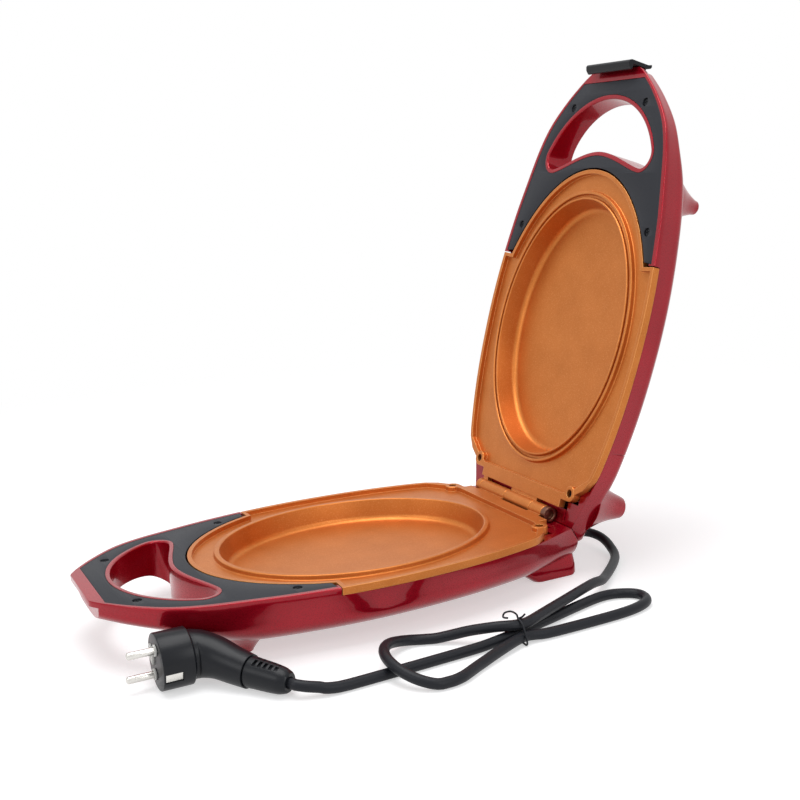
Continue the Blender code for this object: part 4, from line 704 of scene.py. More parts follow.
def slab(outlines: Iterable[Outline], low: float, high: float) -> Mesh:
    """Makes a flat piece between two heights.

    Args:
        outlines: its outlines, of which inner ones are holes.
        low: height of its underside.
        high: height of its top.

    Returns:
        The piece's mesh.
    """
    lines = [raised(outline, 0) for outline in outlines]
    mesh = from_curve(lines, True, dimensions="2D", fill_mode="BOTH", extrude=(high - low) / 2)
    return moved(mesh, down=-(low + high) / 2)


def tube(points: Ring, radius: float, resolution: int) -> Mesh:
    """A round tube along points."""
    looks = {"bevel_depth": radius, "bevel_resolution": resolution, "use_fill_caps": True}
    return from_curve([points], False, dimensions="3D", **looks)


def moved(
    mesh: Mesh, x: float = 0.0, forward: float = 0.0, down: float = 0.0, turn: Matrix | None = None
) -> Mesh:
    """The mesh turned and then moved to a place in its half."""
    mesh.transform(Matrix.Translation((x, -forward, -down)) @ (turn or Matrix.Identity(4)))
    return mesh


class Carving:
    """A mesh that others are cut from or joined to, step by step."""

    def __init__(self, mesh: Mesh) -> None:
        """Starts from one closed mesh."""
        self.block = put("carving", mesh)
        self.tools: list[Piece] = []

    def step(self, operation: str, meshes: Iterable[Mesh]) -> "Carving":
        """Adds a boolean step for each mesh.

        Args:
            operation: DIFFERENCE or UNION.
            meshes: the closed meshes to use.

        Returns:
            The carving itself.
        """
        for mesh in meshes:
            self.tools.append(put("tool", mesh))
            change = self.block.modifiers.new("step", "BOOLEAN")
            change.operation = operation
            change.solver = "EXACT"
            change.object = self.tools[-1]
        return self

    def take(self, *meshes: Mesh) -> "Carving":
        """Cuts meshes away."""
        return self.step("DIFFERENCE", meshes)

    def join(self, *meshes: Mesh) -> "Carving":
        """Joins meshes on."""
        return self.step("UNION", meshes)

    def done(self, bevel: float = 0.0, crisp: float = 40.0) -> Mesh:
        """Works the steps out.

        Args:
            bevel: width of the round on sharp edges, if any.
            crisp: angle in degrees from which an edge is sharp.

        Returns:
            The result as a plain mesh.
        """
        if bevel:
            edge = self.block.modifiers.new("edge", "BEVEL")
            edge.width = bevel
            edge.segments = 2
            edge.limit_method = "ANGLE"
            edge.angle_limit = math.radians(crisp)
        graph = bpy.context.evaluated_depsgraph_get()
        mesh = bpy.data.meshes.new_from_object(self.block.evaluated_get(graph))
        for thing in [self.block, *self.tools]:
            bpy.data.objects.remove(thing, do_unlink=True)
        return mesh


def piece(
    name: str, mesh: Mesh, finish: Finish, body: Body, place: Matrix | None, stands_for: Sequence[str],
    sharp: float = 32.0,
) -> Piece:
    """Makes one shown piece.

    Args:
        name: the piece's name.
        mesh: its mesh, in the frame of its place.
        finish: what it is made of.
        body: the body it rides on.
        place: where its frame lies, or None for the pan's own.
        stands_for: solids that it replaces.
        sharp: edges sharper than this many degrees stay crisp.

    Returns:
        The piece.
    """
    mesh.transform(place or Matrix.Identity(4))
    mesh.materials.clear()
    mesh.materials.append(finish.material())
    mesh.shade_smooth()
    mesh.set_sharp_from_angle(angle=math.radians(sharp))
    made = put(name, mesh)
    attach(made, body.value)
    if stands_for:
        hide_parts(*stands_for)
    LOG.info("%s: %d faces", name, len(mesh.polygons))
    return made


def cross_screw(head: float, length: float, shank: float = 0.0013) -> Mesh:
    """Turns a pan-head screw with a cross recess, its crown's top at z = 0.

    Args:
        head: radius of the head.
        length: from the crown to the tip.
        shank: radius of the thread's crest.

    Returns:
        The screw's mesh.
    """
    tall, brim, crown, flat = 0.0009, 0.0005, 1.25, 0.9
    thread_start, turns, root = 0.0015, 8, 0.78
    arm_long, arm_wide, arm_deep, arm_turn, over = 0.62, 0.11, 0.00075, 0.4, 0.001
    threaded = length - 2 * thread_start
    profile = [(head * math.sin(a), -tall * (1 - math.cos(a)) * flat) for a in spread(0, crown, 6)]
    profile += [(head, -brim), (head, -tall), (shank, -tall)]
    for i in range(turns):
        at = -thread_start - threaded * i / turns
        profile += [(shank, at), (shank * root, at - threaded / turns / 2)]
    profile += [(shank, -length + shank), (0, -length)]
    screw = Carving(turned([(0, 0)] + profile[1:], 32))
    for turn in (0, QUARTER):
        arm = block((-head * arm_long, -head * arm_wide, -arm_deep), (head * arm_long, head * arm_wide, over))
        screw.take(moved(arm, turn=Matrix.Rotation(turn + arm_turn, 4, "Z")))
    return screw.done()


# The two halves


@dataclass(frozen=True)
class PanPlan:
    """Plan sizes and outlines that both halves share."""

    reach: float = 0.3445
    half_width: float = 0.105
    rear_reach: float = 0.015
    side: float = 0.018
    wall: float = 0.0025
    gap: float = 0.0003
    over: float = 0.004
    lean_share: float = 0.035
    rim_round: float = 0.0011
    belly: tuple[float, float] = (0.72, 0.85)
    belly_steps: int = 18
    rim: Rows = (
        (-0.05, 0.650), (0.0, 0.705), (0.06, 0.790), (0.13, 0.880), (0.26, 0.965), (0.40, 1.000),
        (0.52, 0.990), (0.647, 0.935), (0.74, 0.867), (0.826, 0.790), (0.8825, 0.700), (0.9375, 0.545),
        (0.98, 0.385), (1.0, 0.286),
    )
    depths: Rows = (
        (-0.05, 0.96), (0.0, 0.98), (0.06, 0.99), (0.13, 1.0), (0.70, 1.0), (0.765, 0.92), (0.83, 0.68),
        (0.88, 0.57), (0.94, 0.47), (1.0, 0.36),
    )
    sides: Rows = ((-0.05, 0.85), (0.05, 1.0), (0.72, 1.0), (0.84, 0.70), (0.93, 0.50), (1.0, 0.34))
    step_reach: float = 0.195
    step_clearance: float = 0.0007
    step_slant: float = 0.0008
    plate_margin: float = 0.0008
    plate_front: float = 0.266
    plate_centre: float = 0.120
    plate_width: float = 0.104
    plate_rear: float = 0.008
    ear_rear: float = 0.0145
    lip: float = 0.003
    lip_rear: float = 0.019
    hinge_span: float = 0.057015
    boss_x: float = 0.0664965
    boss_forward: float = 0.0205
    boss_radius: float = 0.0058
    pan_centre: float = 0.141
    pan_width: float = 0.08001
    pan_length: float = 0.1015
    bead: float = 0.0032
    panel_rear: float = 0.197
    panel_front: float = 0.3355
    panel_margin: float = 0.004
    grip_centre: float = 0.247
    grip_radius: float = 0.0745
    grip_rear: float = 0.2803
    grip_lobe: tuple[float, float] = (0.0575, 0.2765)
    grip_end: float = math.radians(-100)
    grip_pulls: tuple[float, float] = (0.014, 0.020)
    screws: Rows = ((0.04641, 0.3166), (0.08449, 0.2196))
    latch_pivot: tuple[float, float] = (0.3375, 0.0075)
    latch_bore: float = 0.00155
    lamp: tuple[float, float] = (0.012, 0.234)
    cord_exit: tuple[float, float] = (0.018, 0.0302)

    def rim_width(self, forward: float) -> float:
        """Half width of the rim at one place along the half."""
        return self.half_width * curve_through(self.rim, forward / self.reach)

    def oval(self, grow: float) -> Outline:
        """The pan's oval, grown."""
        wide, long = self.pan_width + grow, self.pan_length + grow
        return arc(0, -self.pan_centre, wide, 0, 2 * math.pi, 120, long)[:-1]

    def grip(self) -> Outline:
        """Draws the handle's opening: a front arc, two lobes and a hollow rear edge.

        Returns:
            Its closed outline.
        """
        lobe, middle = Vector(self.grip_lobe), Vector((0, self.grip_rear))
        reach = Vector((lobe.x, lobe.y - self.grip_centre))
        lobe_radius = self.grip_radius - reach.length
        meet = math.atan2(reach.y, reach.x)
        heading = Vector((math.sin(self.grip_end), -math.cos(self.grip_end)))
        start = lobe + lobe_radius * Vector((math.cos(self.grip_end), math.sin(self.grip_end)))
        pulls = (start, start + self.grip_pulls[0] * heading, middle + Vector((self.grip_pulls[1], 0)), middle)
        right = []
        for t in spread(1, 0, 20)[:-1]:
            weights = ((1 - t) ** 3, 3 * t * (1 - t) ** 2, 3 * t * t * (1 - t), t**3)
            right.append(tuple(sum((w * p for w, p in zip(weights, pulls)), Vector((0, 0)))))
        right += arc(lobe.x, lobe.y, lobe_radius, self.grip_end, meet, 18)[:-1]
        right += arc(0, self.grip_centre, self.grip_radius, meet, QUARTER, 24)
        return both_sides([(0.0 if x < TINY else x, -forward) for x, forward in right])

    def arc_side(self, start: float, margin: float = 0.0) -> Outline:
        """Draws the right side of the plate's front arc.

        Args:
            start: where it starts.
            margin: how far it lies outside the arc.

        Returns:
            Its points, up to the tip.
        """
        length = self.plate_front - self.plate_centre + margin
        first = math.asin((start - self.plate_centre) / length)
        side = arc(0, self.plate_centre, self.plate_width + margin, first, QUARTER, 40, length)
        return [(x if x > TINY else 0.0, -forward) for x, forward in side]

    def rim_side(self, margin: float, start: float, end: float, steps: int = 40) -> Outline:
        """Right side of the rim less a margin."""
        return [(self.rim_width(f) - margin, -f) for f in spread(start, end, steps)]

    def plate(self) -> Outline:
        """Draws the pan plate: ears at the rear, the rim's sides, steps and the front arc.

        Returns:
            Its closed outline.
        """
        ear, corner = self.boss_forward - self.ear_rear, self.boss_forward + self.boss_radius
        right = [(self.hinge_span, -self.plate_rear), (self.hinge_span, -self.ear_rear)]
        right += [(x, -forward) for x, forward in arc(self.boss_x, self.boss_forward, ear, -QUARTER, 0, 12)]
        right.append((self.rim_width(corner) - self.plate_margin - self.lip, -corner))
        right += self.rim_side(self.plate_margin, corner + self.lip + self.boss_radius, self.step_reach)
        return both_sides(right + self.arc_side(self.step_reach - self.step_slant))

    def plate_inner(self, margin: float) -> Outline:
        """Draws the plate less its lip, with a straight rear edge.

        Args:
            margin: how far the outline lies inside the plate's.

        Returns:
            The closed outline.
        """
        corner = self.boss_forward + 2 * self.boss_radius
        right = [(self.hinge_span, -self.lip_rear), (self.boss_x, -self.lip_rear - self.lip)]
        right += self.rim_side(self.plate_margin + margin, corner + margin, self.step_reach - margin)
        return both_sides(right + self.arc_side(self.step_reach - self.step_slant - margin, -margin))

    def panel(self, margin: float = 0.0) -> Outline:
        """Draws the handle panel: the rim's curve outside and the plate's arc inside.

        Args:
            margin: how far the outline lies outside the panel.

        Returns:
            The closed outline.
        """
        stops = spread(self.panel_rear - margin, self.panel_front + margin, 48)
        right = [(self.rim_width(f) - self.panel_margin + margin, -f) for f in stops]
        inner = self.arc_side(self.panel_rear + self.step_slant - margin, 2 * self.step_clearance - margin)
        left = [(-x, y) for x, y in reversed(right)] + [(-x, y) for x, y in inner]
        return right + left + list(reversed(inner[:-1]))


@dataclass(frozen=True)
class Half:
    """One half of the pan: its depth, its place and its body."""

    name: str
    body: Body
    depth: float
    foot_depth: float
    side: int
    place: Matrix
    plan: PanPlan = PanPlan()

    def shell_depth(self, forward: float) -> float:
        """Depth of the shell under the parting plane at one place along it."""
        return self.depth * curve_through(self.plan.depths, forward / self.plan.reach)

    def section(
        self, forward: float, inset: float = 0.0, top: float = 0.0, shrink: float = 1.0, soft: bool = True
    ) -> Ring:
        """Draws the shell's section at one place along it.

        Args:
            forward: the place.
            inset: how far inside the outer face.
            top: how far the ring's top lies under the parting plane.
            shrink: share of the full width and depth.
            soft: whether the rim's edge is rounded.

        Returns:
            The ring, from the right rim over the belly to the left rim.
        """
        plan = self.plan
        width = plan.rim_width(forward) * shrink - inset
        depth = self.shell_depth(forward) * shrink - inset
        side = plan.side * curve_through(plan.sides, forward / plan.reach) * shrink
        foot = width * (1 - plan.lean_share)
        bend = plan.rim_round if soft else 0.0
        right = round_over(width, top, -bend, bend, 4) if soft else [(width, top)]
        fall = side - top - bend
        right += [(width + (foot - width) * t, top + bend + fall * t) for t in spread(0, 1, 4)[1:]]
        for step in range(1, plan.belly_steps + 1):
            angle = QUARTER * step / plan.belly_steps
            across = math.cos(angle) ** plan.belly[0] if step < plan.belly_steps else 0.0
            right.append((foot * across, side + (depth - side) * math.sin(angle) ** plan.belly[1]))
        left = [(-x, down) for x, down in reversed(right[:-1])]
        return [Vector((x, -forward, -down)) for x, down in right + left]

    def rear_wedge(self, forward: float) -> Mesh:
        """Makes what is cut from behind the slanted rear face.

        Args:
            forward: where the face meets the parting plane.

        Returns:
            The cutter's mesh.
        """
        across, size = self.plan.half_width + self.plan.over, 2 * self.depth
        slant = Matrix.Rotation((math.pi - OPEN_ANGLE) / 2, 4, "X")
        return moved(moved(block((-across, 0, -size), (across, size, size)), turn=slant), 0, forward)

    def show(self, name: str, mesh: Mesh, finish: Finish, node: str, sharp: float = 32.0) -> None:
        """Shows a piece of this half in place of one of its solids."""
        piece(f"{self.name}_{name}", mesh, finish, self.body, self.place, [f"{self.name}_{node}"], sharp)

    def show_screws(self, kind: str, at: tuple[float, float], down: float, head: float, length: float) -> None:
        """Shows a pair of screws.

        Args:
            kind: what their names start with.
            at: the right one's place.
            down: how deep the crowns lie.
            head: radius of the heads.
            length: length of the screws.
        """
        for side, sign in SIDES:
            screw = moved(cross_screw(head, length), sign * at[0] * self.side, at[1], down)
            self.show(f"{kind}_{side}_head", screw, SCREW_STEEL, f"{kind}_{side}")


@dataclass(frozen=True)
class Shell:
    """The glossy moulded shell of one half."""

    half: Half
    rear_rings: Rows = ((0.0, 0.965), (0.0008, 0.985))
    nose_rings: Rows = ((0.0005, 0.0004), (0.0, 0.0012))
    ends: tuple[float, float] = (0.0025, 0.0016)
    ledge: float = 0.0065
    ledge_depth: float = 0.005
    seat_depth: float = 0.006
    nose: float = 0.0145
    duct: float = 0.0055
    grip_round: float = 0.0014
    panel_depth: float = 0.0026
    knuckle_clearance: float = 0.0070
    feet: Rows = ((0.060, 0.2505, 0.0055), (0.056, 0.0145, 0.0085))
    foot_root: float = 0.0172
    foot_sink: float = 0.60
    foot_stem: float = 0.9
    foot_sole: float = 0.0016
    foot_flare: Rows = ((0.0, 1.35, 0.0), (0.3, 1, 0), (0.6, 0.45, 0.55), (0.9, 0, 1.08), (1.0, 0, 0.99))
    heel_rows: Rows = (
        (0.018, 0.0455, 0.0120, -0.0147, 0.050), (0.030, 0.0480, 0.0125, -0.0147, 0.043),
        (0.038, 0.0515, 0.0125, -0.0144, 0.033), (0.0435, 0.0540, 0.0112, -0.0138, 0.0255),
        (0.0452, 0.0545, 0.0104, -0.0130, 0.0238), (0.0459, 0.0545, 0.0090, -0.0116, 0.0224),
    )
    heel_round: float = 0.006
    decks: Rows = ((0.0605, -0.015, 0.0135), (0.0728, 0.0130, 0.0262))
    deck_depth: float = 0.0086
    seam_forward: float = 0.058
    seam_wide: float = 0.00035
    seam_deep: float = 0.0006
    undercut: tuple[float, float] = (0.0045, 0.0042)
    cord_hole: float = 0.0058
    lamp_hole: float = 0.0045
    pocket: tuple[float, float, float, float] = (0.0243, 0.0036, 0.0039, 0.0121)
    pin_reach: float = 0.0288

    def outer(self) -> Mesh:
        """Lofts the outer form from its sections.

        Returns:
            The form's mesh.
        """
        half, reach, rear = self.half, self.half.plan.reach, -self.half.plan.rear_reach
        rings = [half.section(rear + step, shrink=shrink) for step, shrink in self.rear_rings]
        rings += [half.section(f) for f in spread(rear + self.ends[0], reach - self.ends[1], 92)]
        rings += [half.section(reach - step, inset=inset) for step, inset in self.nose_rings]
        return loft(rings)

    def foot(self, forward: float, tip: float) -> Mesh:
        """Turns a foot with a flared root, a tapering stem and a rounded sole.

        Args:
            forward: its place along the shell.
            tip: radius of the sole.

        Returns:
            The foot's mesh, about x = 0.
        """
        depth, sole = self.half.foot_depth, self.foot_sole
        root_down = self.half.shell_depth(forward) * self.foot_sink
        height = depth - root_down
        table = [(t, self.foot_root * root + tip * end) for t, root, end in self.foot_flare]
        profile = [(curve_through(table, t), -root_down - height * t) for t in spread(0, self.foot_stem, 14)]
        return turned(profile + swapped(round_over(-depth, tip, sole, -sole, 5)), 40)

    def heel(self, sign: int) -> Mesh:
        """Lofts the broad web that joins a rear foot to the shell's rear corner.

        Args:
            sign: 1 for the right, -1 for the left.

        Returns:
            The web's mesh.
        """
        rings = []
        for down, middle, wide, rear, front in self.heel_rows:
            bend = min(wide, self.heel_round)
            ring = []
            for turn, (across, along) in enumerate(((1, front), (-1, front), (-1, rear), (1, rear))):
                centre = (across * (wide - bend), along + (bend if along < 0 else -bend))
                ring += arc(*centre, bend, turn * QUARTER, (turn + 1) * QUARTER, 6)
            rings.append([Vector((sign * middle + x, -forward, -down)) for x, forward in ring])
        return loft(rings)

    def hollow(self) -> Mesh:
        """Carves the inside of the shell, less the walls round the handle and the hinge.

        Returns:
            The hollow's mesh.
        """
        half, plan = self.half, self.half.plan
        front = plan.reach - self.nose
        stops = spread(-plan.rear_reach + plan.wall, front, 40)
        void = Carving(loft([half.section(f, plan.wall, self.ledge_depth, soft=False) for f in stops]))
        side = plan.rim_side(self.ledge, plan.step_reach, front, 24)
        window = both_sides([(plan.rim_width(0) - self.ledge, 0)] + side)
        void.join(slab([window], -self.ledge_depth - plan.wall / 2, plan.over))
        void.take(slab([grown(plan.grip(), self.duct)], -half.depth - plan.over, 2 * plan.over))
        void.take(half.rear_wedge(plan.wall / math.cos((math.pi - OPEN_ANGLE) / 2)), self.barrel(plan.wall))
        for _, sign in SIDES:
            for near, rear, front in self.decks:
                across = sorted((sign * near, sign * plan.half_width))
                void.take(block((across[0], -front, -self.deck_depth), (across[1], -rear, plan.over)))
        return void.done()

    def barrel(self, grow: float) -> Mesh:
        """The round hollow that the hinge's knuckles lie in."""
        across = self.half.plan.hinge_span + grow
        return moved(cylinder(self.knuckle_clearance + grow, -across, across), turn=SIDEWAYS)

    def grip_cutter(self) -> Mesh:
        """Lofts what opens the handle, its upper edge rounded over.

        Returns:
            The cutter's mesh.
        """
        outline, over, bend = self.half.plan.grip(), self.half.plan.over, self.grip_round
        rows = [(bend, over), (bend, 0.0001)] + round_over(0, 0, bend, -bend, 6)
        rings = [raised(grown(outline, grow), height) for grow, height in rows]
        return loft(rings + [raised(outline, -self.half.depth - over)])

    def seam(self) -> Mesh:
        """Carves a fine parting line round the shell's side near the hinge.

        Returns:
            The cutter's mesh.
        """
        section, over = self.half.section, self.half.plan.over
        stops = (self.seam_forward - self.seam_wide, self.seam_forward + self.seam_wide)
        outside = [section(s, -over, -over, soft=False) for s in stops]
        inside = [section(s, self.seam_deep, self.seat_depth - 0.001, soft=False) for s in stops]
        return Carving(loft(outside)).take(loft(inside)).done()

    def build(self) -> None:
        """Carves the shell and shows it."""
        half, plan = self.half, self.half.plan
        front, rear, across = plan.reach + plan.over, plan.rear_reach + plan.over, plan.half_width + plan.over
        shell = Carving(self.outer())
        for x, forward, tip in self.feet[:1] if half.side > 0 else self.feet:
            shell.join(*(moved(self.foot(forward, tip), sign * x, forward) for _, sign in SIDES))
        if half.side > 0:
            shell.join(self.heel(1), self.heel(-1))
        shell.take(self.hollow())
        shell.take(slab([plan.panel(plan.gap), grown(plan.grip(), plan.bead)], -self.panel_depth, plan.over))
        step = plan.step_reach + plan.step_clearance
        shell.take(block((-across, -step, -self.seat_depth), (across, rear, plan.over)))
        shell.take(block((-across, -front, -plan.gap / 2), (across, 0, 2 * plan.over)))
        shell.take(self.grip_cutter(), half.rear_wedge(plan.gap), self.barrel(0))
        lip = plan.reach - self.undercut[0]
        shell.take(block((-plan.half_width, -front, -half.depth), (plan.half_width, -lip, -self.undercut[1])))
        if half.side > 0:
            hole = cylinder(self.cord_hole, plan.rear_reach - 2 * plan.wall, rear)
            shell.take(moved(hole, plan.cord_exit[0], 0, plan.cord_exit[1], BACKWARDS))
        else:
            (wide, behind, top, low), pivot = self.pocket, plan.latch_pivot
            shell.take(block((-wide, -lip - plan.over, -low), (wide, -pivot[0] + behind, -top)))
            shell.take(moved(cylinder(plan.latch_bore, -self.pin_reach, self.pin_reach), 0, *pivot, SIDEWAYS))
            for _, sign in SIDES:
                hole = cylinder(self.lamp_hole, -half.depth - plan.over, -half.depth + 2 * plan.wall)
                shell.take(moved(hole, sign * plan.lamp[0], plan.lamp[1]))
            shell.take(self.seam())
        half.show("shell_skin", shell.done(), RED, "shell")


@dataclass(frozen=True)
class HandlePanel:
    """The charcoal inlay round the handle opening, and its four screws."""

    half: Half
    drop: float = 0.0003
    thickness: float = 0.002
    edge: float = 0.00025
    head: float = 0.0030
    recess: float = 0.0016
    sunk: float = 0.0006
    bore: float = 0.0016
    screw_length: float = 0.0085

    def build(self) -> None:
        """Makes the panel with its recessed holes, then the screws."""
        half, plan = self.half, self.half.plan
        low = -self.drop - self.thickness
        panel = Carving(slab([plan.panel(), grown(plan.grip(), plan.bead + plan.gap)], low, -self.drop))
        recess = (self.head + plan.gap, -self.drop - self.recess, plan.over, 32)
        bore = (self.bore, low - plan.over, plan.over, 24)
        for x, forward in plan.screws:
            for _, sign in SIDES:
                panel.take(*(moved(cylinder(*hole), sign * x, forward) for hole in (recess, bore)))
        half.show("handle_inlay", panel.done(self.edge), CHARCOAL, "handle_panel")
        for end, at in zip(("front", "rear"), plan.screws):
            half.show_screws(f"panel_screw_{end}", at, self.drop + self.sunk, self.head, self.screw_length)


@dataclass(frozen=True)
class PanPlate:
    """The cast pan of one half: lip, flange, raised ring, oval pan, bosses and hinge knuckles."""

    half: Half
    top: float = 0.0003
    seat: float = 0.0057
    flange_top: float = 0.004
    flange_under: float = 0.007
    under_inset: float = 0.00125
    skin: float = 0.0006
    depth: float = 0.017
    floor: float = 0.003
    draft: float = 0.003
    corner: float = 0.005
    mouth: float = 0.0007
    ring_wall: float = 0.004
    ring_extra: float = 0.0028
    ring_drop: float = 0.0005
    ring_round: float = 0.0007
    ring_foot: float = 0.0009
    ring_gap: float = 0.0003
    ring_lift: float = 0.00002
    ring_root: float = 0.0024
    groove_sides: tuple[float, float] = (0.0017, 0.0043)
    groove_deep: float = 0.003
    groove_round: float = 0.0006
    knuckle: float = 0.0056
    knuckle_soft: float = 0.0004
    pin_bore: float = 0.0025
    boss_soft: float = 0.0005
    counterbore: tuple[float, float] = (0.0031, 0.0034)
    screw_bore: float = 0.0016
    screw: tuple[float, float, float] = (0.0022, 0.0028, 0.009)
    base_knuckles: Rows = ((-0.0470, -0.0105), (0.0275, 0.0440))
    lid_knuckles: Rows = ((-0.0540, -0.0475), (-0.0100, 0.0270))

    def ovals(self, rows: Iterable[tuple[float, float]], closed: bool = False) -> Mesh:
        """A loft through the pan's oval at (grow, down) rows."""
        return loft([raised(self.half.plan.oval(grow), -down) for grow, down in rows], closed)

    def bowl(self, grow: float, down: float, top: float) -> Outline:
        """Rows down the pan's side to its floor, with a round corner."""
        bend = -self.corner
        return [(grow, top)] + swapped(round_over(self.depth + down, grow - self.draft, bend, bend, 8))

    def ring_form(self) -> Mesh:
        """Lofts the raised ring round the pan, with rounded shoulders and a flared foot.

        Returns:
            The ring's mesh.
        """
        wall = self.ring_wall + (self.ring_extra if self.half.side < 0 else 0)
        rows = round_over(wall, self.ring_drop, -self.ring_round, self.ring_round, 5)
        flare = swapped(round_over(self.flange_top, wall + self.ring_gap, -self.ring_foot, self.ring_foot, 6))
        rows += [(grow, down + self.ring_lift) for grow, down in flare]
        return self.ovals(rows + [(wall + self.ring_foot + self.ring_gap, self.flange_top + self.ring_root)])

    def pan_cutter(self) -> Mesh:
        """Lofts the pan's hollow, its mouth rounded over.

        Returns:
            The cutter's mesh.
        """
        rows = [(self.mouth, -self.half.plan.over), (self.mouth, self.ring_drop - 0.0001)]
        rows += round_over(0, self.ring_drop, self.mouth, self.mouth, 4)
        return self.ovals(rows + self.bowl(0, 0, 0)[1:])

    def groove(self) -> Mesh:
        """Lofts the groove between the lid's two rings.

        Returns:
            The cutter's mesh.
        """
        (near, far), bend, over = self.groove_sides, self.groove_round, self.half.plan.over
        top, low = self.ring_drop, self.ring_drop + self.groove_deep
        inner, outer = (
            [(at - out, -over), (at - out, top), (at, top + bend), (at, low - bend), (at + out, low)]
            for at, out in ((near, bend), (far, -bend))
        )
        return self.ovals(inner + outer[::-1], closed=True)

    def add_knuckles(self, plate: Carving) -> None:
        """Joins this half's knuckles, with softened ends, and the webs that carry them.

        Args:
            plate: the plate being carved.
        """
        radius, soft, plan = self.knuckle, self.knuckle_soft, self.half.plan
        for span in self.base_knuckles if self.half.side > 0 else self.lid_knuckles:
            start, end = sorted(self.half.side * x for x in span)
            profile = [(radius - soft, end), (radius, end - soft)]
            profile += [(radius, start + soft), (radius - soft, start)]
            plate.join(moved(turned(profile, 56), turn=SIDEWAYS))
            low = (start, -plan.plate_rear - plan.over, -self.seat + plan.gap)
            plate.join(block(low, (end, 0, -self.skin)))

    def build(self) -> None:
        """Casts the plate and shows it."""
        half, plan = self.half, self.half.plan
        under_top, boss = self.flange_top + self.skin, plan.boss_radius
        plate = Carving(slab([plan.plate()], -self.seat, -self.top))
        plate.join(slab([plan.plate_inner(plan.lip + self.under_inset)], -self.flange_under, -under_top))
        plate.join(self.ovals(self.bowl(self.floor, self.floor, under_top)))
        plate.take(slab([plan.plate_inner(plan.lip)], -self.flange_top, plan.over))
        plate.join(self.ring_form())
        plate.take(self.pan_cutter())
        if half.side < 0:
            plate.take(self.groove())
        top, soft = -self.top / 2, self.boss_soft
        column = ((boss - soft, top), (boss, top - soft), (boss, -self.flange_under))
        for _, sign in SIDES:
            at = (sign * plan.boss_x, plan.boss_forward)
            plate.join(moved(turned(column), *at))
            plate.take(moved(cylinder(self.counterbore[0], -self.counterbore[1], plan.over, 40), *at))
            plate.take(moved(cylinder(self.screw_bore, -self.flange_under - plan.over, 0, 24), *at))
        self.add_knuckles(plate)
        plate.take(moved(cylinder(self.pin_bore, -plan.hinge_span, plan.hinge_span, 32), turn=SIDEWAYS))
        half.show("pan_cast", plate.done(), COPPER, "pan_plate", 30)
        half.show_screws("plate_screw", (plan.boss_x, plan.boss_forward), *self.screw)


@dataclass(frozen=True)
class HingePin:
    """The pin through the knuckles, with a hollow bolt end on the right."""

    radius: float = 0.0022
    head: float = 0.0443
    head_radius: float = 0.0058
    head_length: float = 0.0055
    bore: float = 0.0034
    dimple: float = 0.0006
    tail: float = -0.0543
    tail_radius: float = 0.0032
    tail_length: float = 0.0015
    soft: float = 0.0005

    def build(self) -> None:
        """Turns the pin and shows it."""
        head, tail, soft = self.head_radius, self.tail_radius, self.soft
        top, middle = self.head + self.head_length, self.head + self.head_length / 2
        end = self.tail - self.tail_length
        profile = [
            (0, middle + self.dimple), (self.bore * 0.5, middle), (self.bore, middle), (self.bore, top - soft),
            (self.bore + soft, top), (head - soft, top), (head, top - soft), (head, self.head + soft),
            (head - soft, self.head), (self.radius, self.head), (self.radius, self.tail),
            (tail - soft, self.tail), (tail, self.tail - soft), (tail, end + soft), (tail - soft, end),
            (0, end),
        ]
        mesh = moved(turned(profile, 56), turn=SIDEWAYS)
        piece("hinge_pin_turned", mesh, BRONZE, Body.BASE, HERE, ["hinge_pin"])


@dataclass(frozen=True)
class Latch:
    """The black latch on the lid's nose."""

    half: Half
    half_width: float = 0.028
    edge: float = 0.0005
    lug: float = 0.003
    lug_span: tuple[float, float] = (0.0085, 0.0238)
    lug_front: float = 0.3467
    profile: Rows = (
        (0.3492, 0.0118), (0.3478, 0.0124), (0.3462, 0.0116), (0.3452, 0.0090), (0.3452, -0.0048),
        (0.3410, -0.0050), (0.3412, -0.0062), (0.3434, -0.0084), (0.3460, -0.0092), (0.3474, -0.0086),
        (0.3482, -0.0070), (0.3482, 0.0088),
    )

    def build(self) -> None:
        """Extrudes the latch's profile of (forward, down) points, adds its arms and shows it."""
        plate = slab([list(reversed(self.profile))], -self.half_width, self.half_width)
        across = Matrix(((0, 0, 1, 0), (-1, 0, 0, 0), (0, -1, 0, 0), (0, 0, 0, 1)))
        latch = Carving(moved(plate, turn=across))
        pivot = self.half.plan.latch_pivot
        for _, sign in SIDES:
            start, end = sorted(sign * x for x in self.lug_span)
            low = (start, -self.lug_front, -pivot[1] - self.lug)
            latch.join(block(low, (end, -pivot[0], -pivot[1] + self.lug)))
            latch.join(moved(cylinder(self.lug, start, end), 0, *pivot, SIDEWAYS))
        bore = cylinder(self.half.plan.latch_bore, -self.half_width, self.half_width, 24)
        latch.take(moved(bore, 0, *pivot, SIDEWAYS))
        piece("latch_moulding", latch.done(self.edge), BLACK, Body.LATCH, self.half.place, ["latch"])


@dataclass(frozen=True)
class Lamps:
    """Domed lenses of the lid's two lamps."""

    half: Half
    radius: float = 0.0042
    flange: float = 0.0056
    flange_thickness: float = 0.0012
    proud: float = 0.0012
    wall: float = 0.0028

    def build(self) -> None:
        """Turns a lens for each lamp and shows it."""
        depth, lamp = self.half.depth, self.half.plan.lamp
        inner, back = self.wall - depth, self.wall - depth + self.flange_thickness
        profile = [(0, back), (self.flange, back), (self.flange, inner), (self.radius, inner)]
        profile += arc(0, -depth, self.radius, 0, QUARTER, 8, -self.proud)
        profile[-1] = (0, -depth - self.proud)
        for side, sign in SIDES:
            mesh = moved(turned(profile, 40), sign * lamp[0] * self.half.side, lamp[1])
            piece(f"lamp_lens_{side}_dome", mesh, AMBER, Body.LID, self.half.place, [f"lamp_lens_{side}"])


# Cord and plug


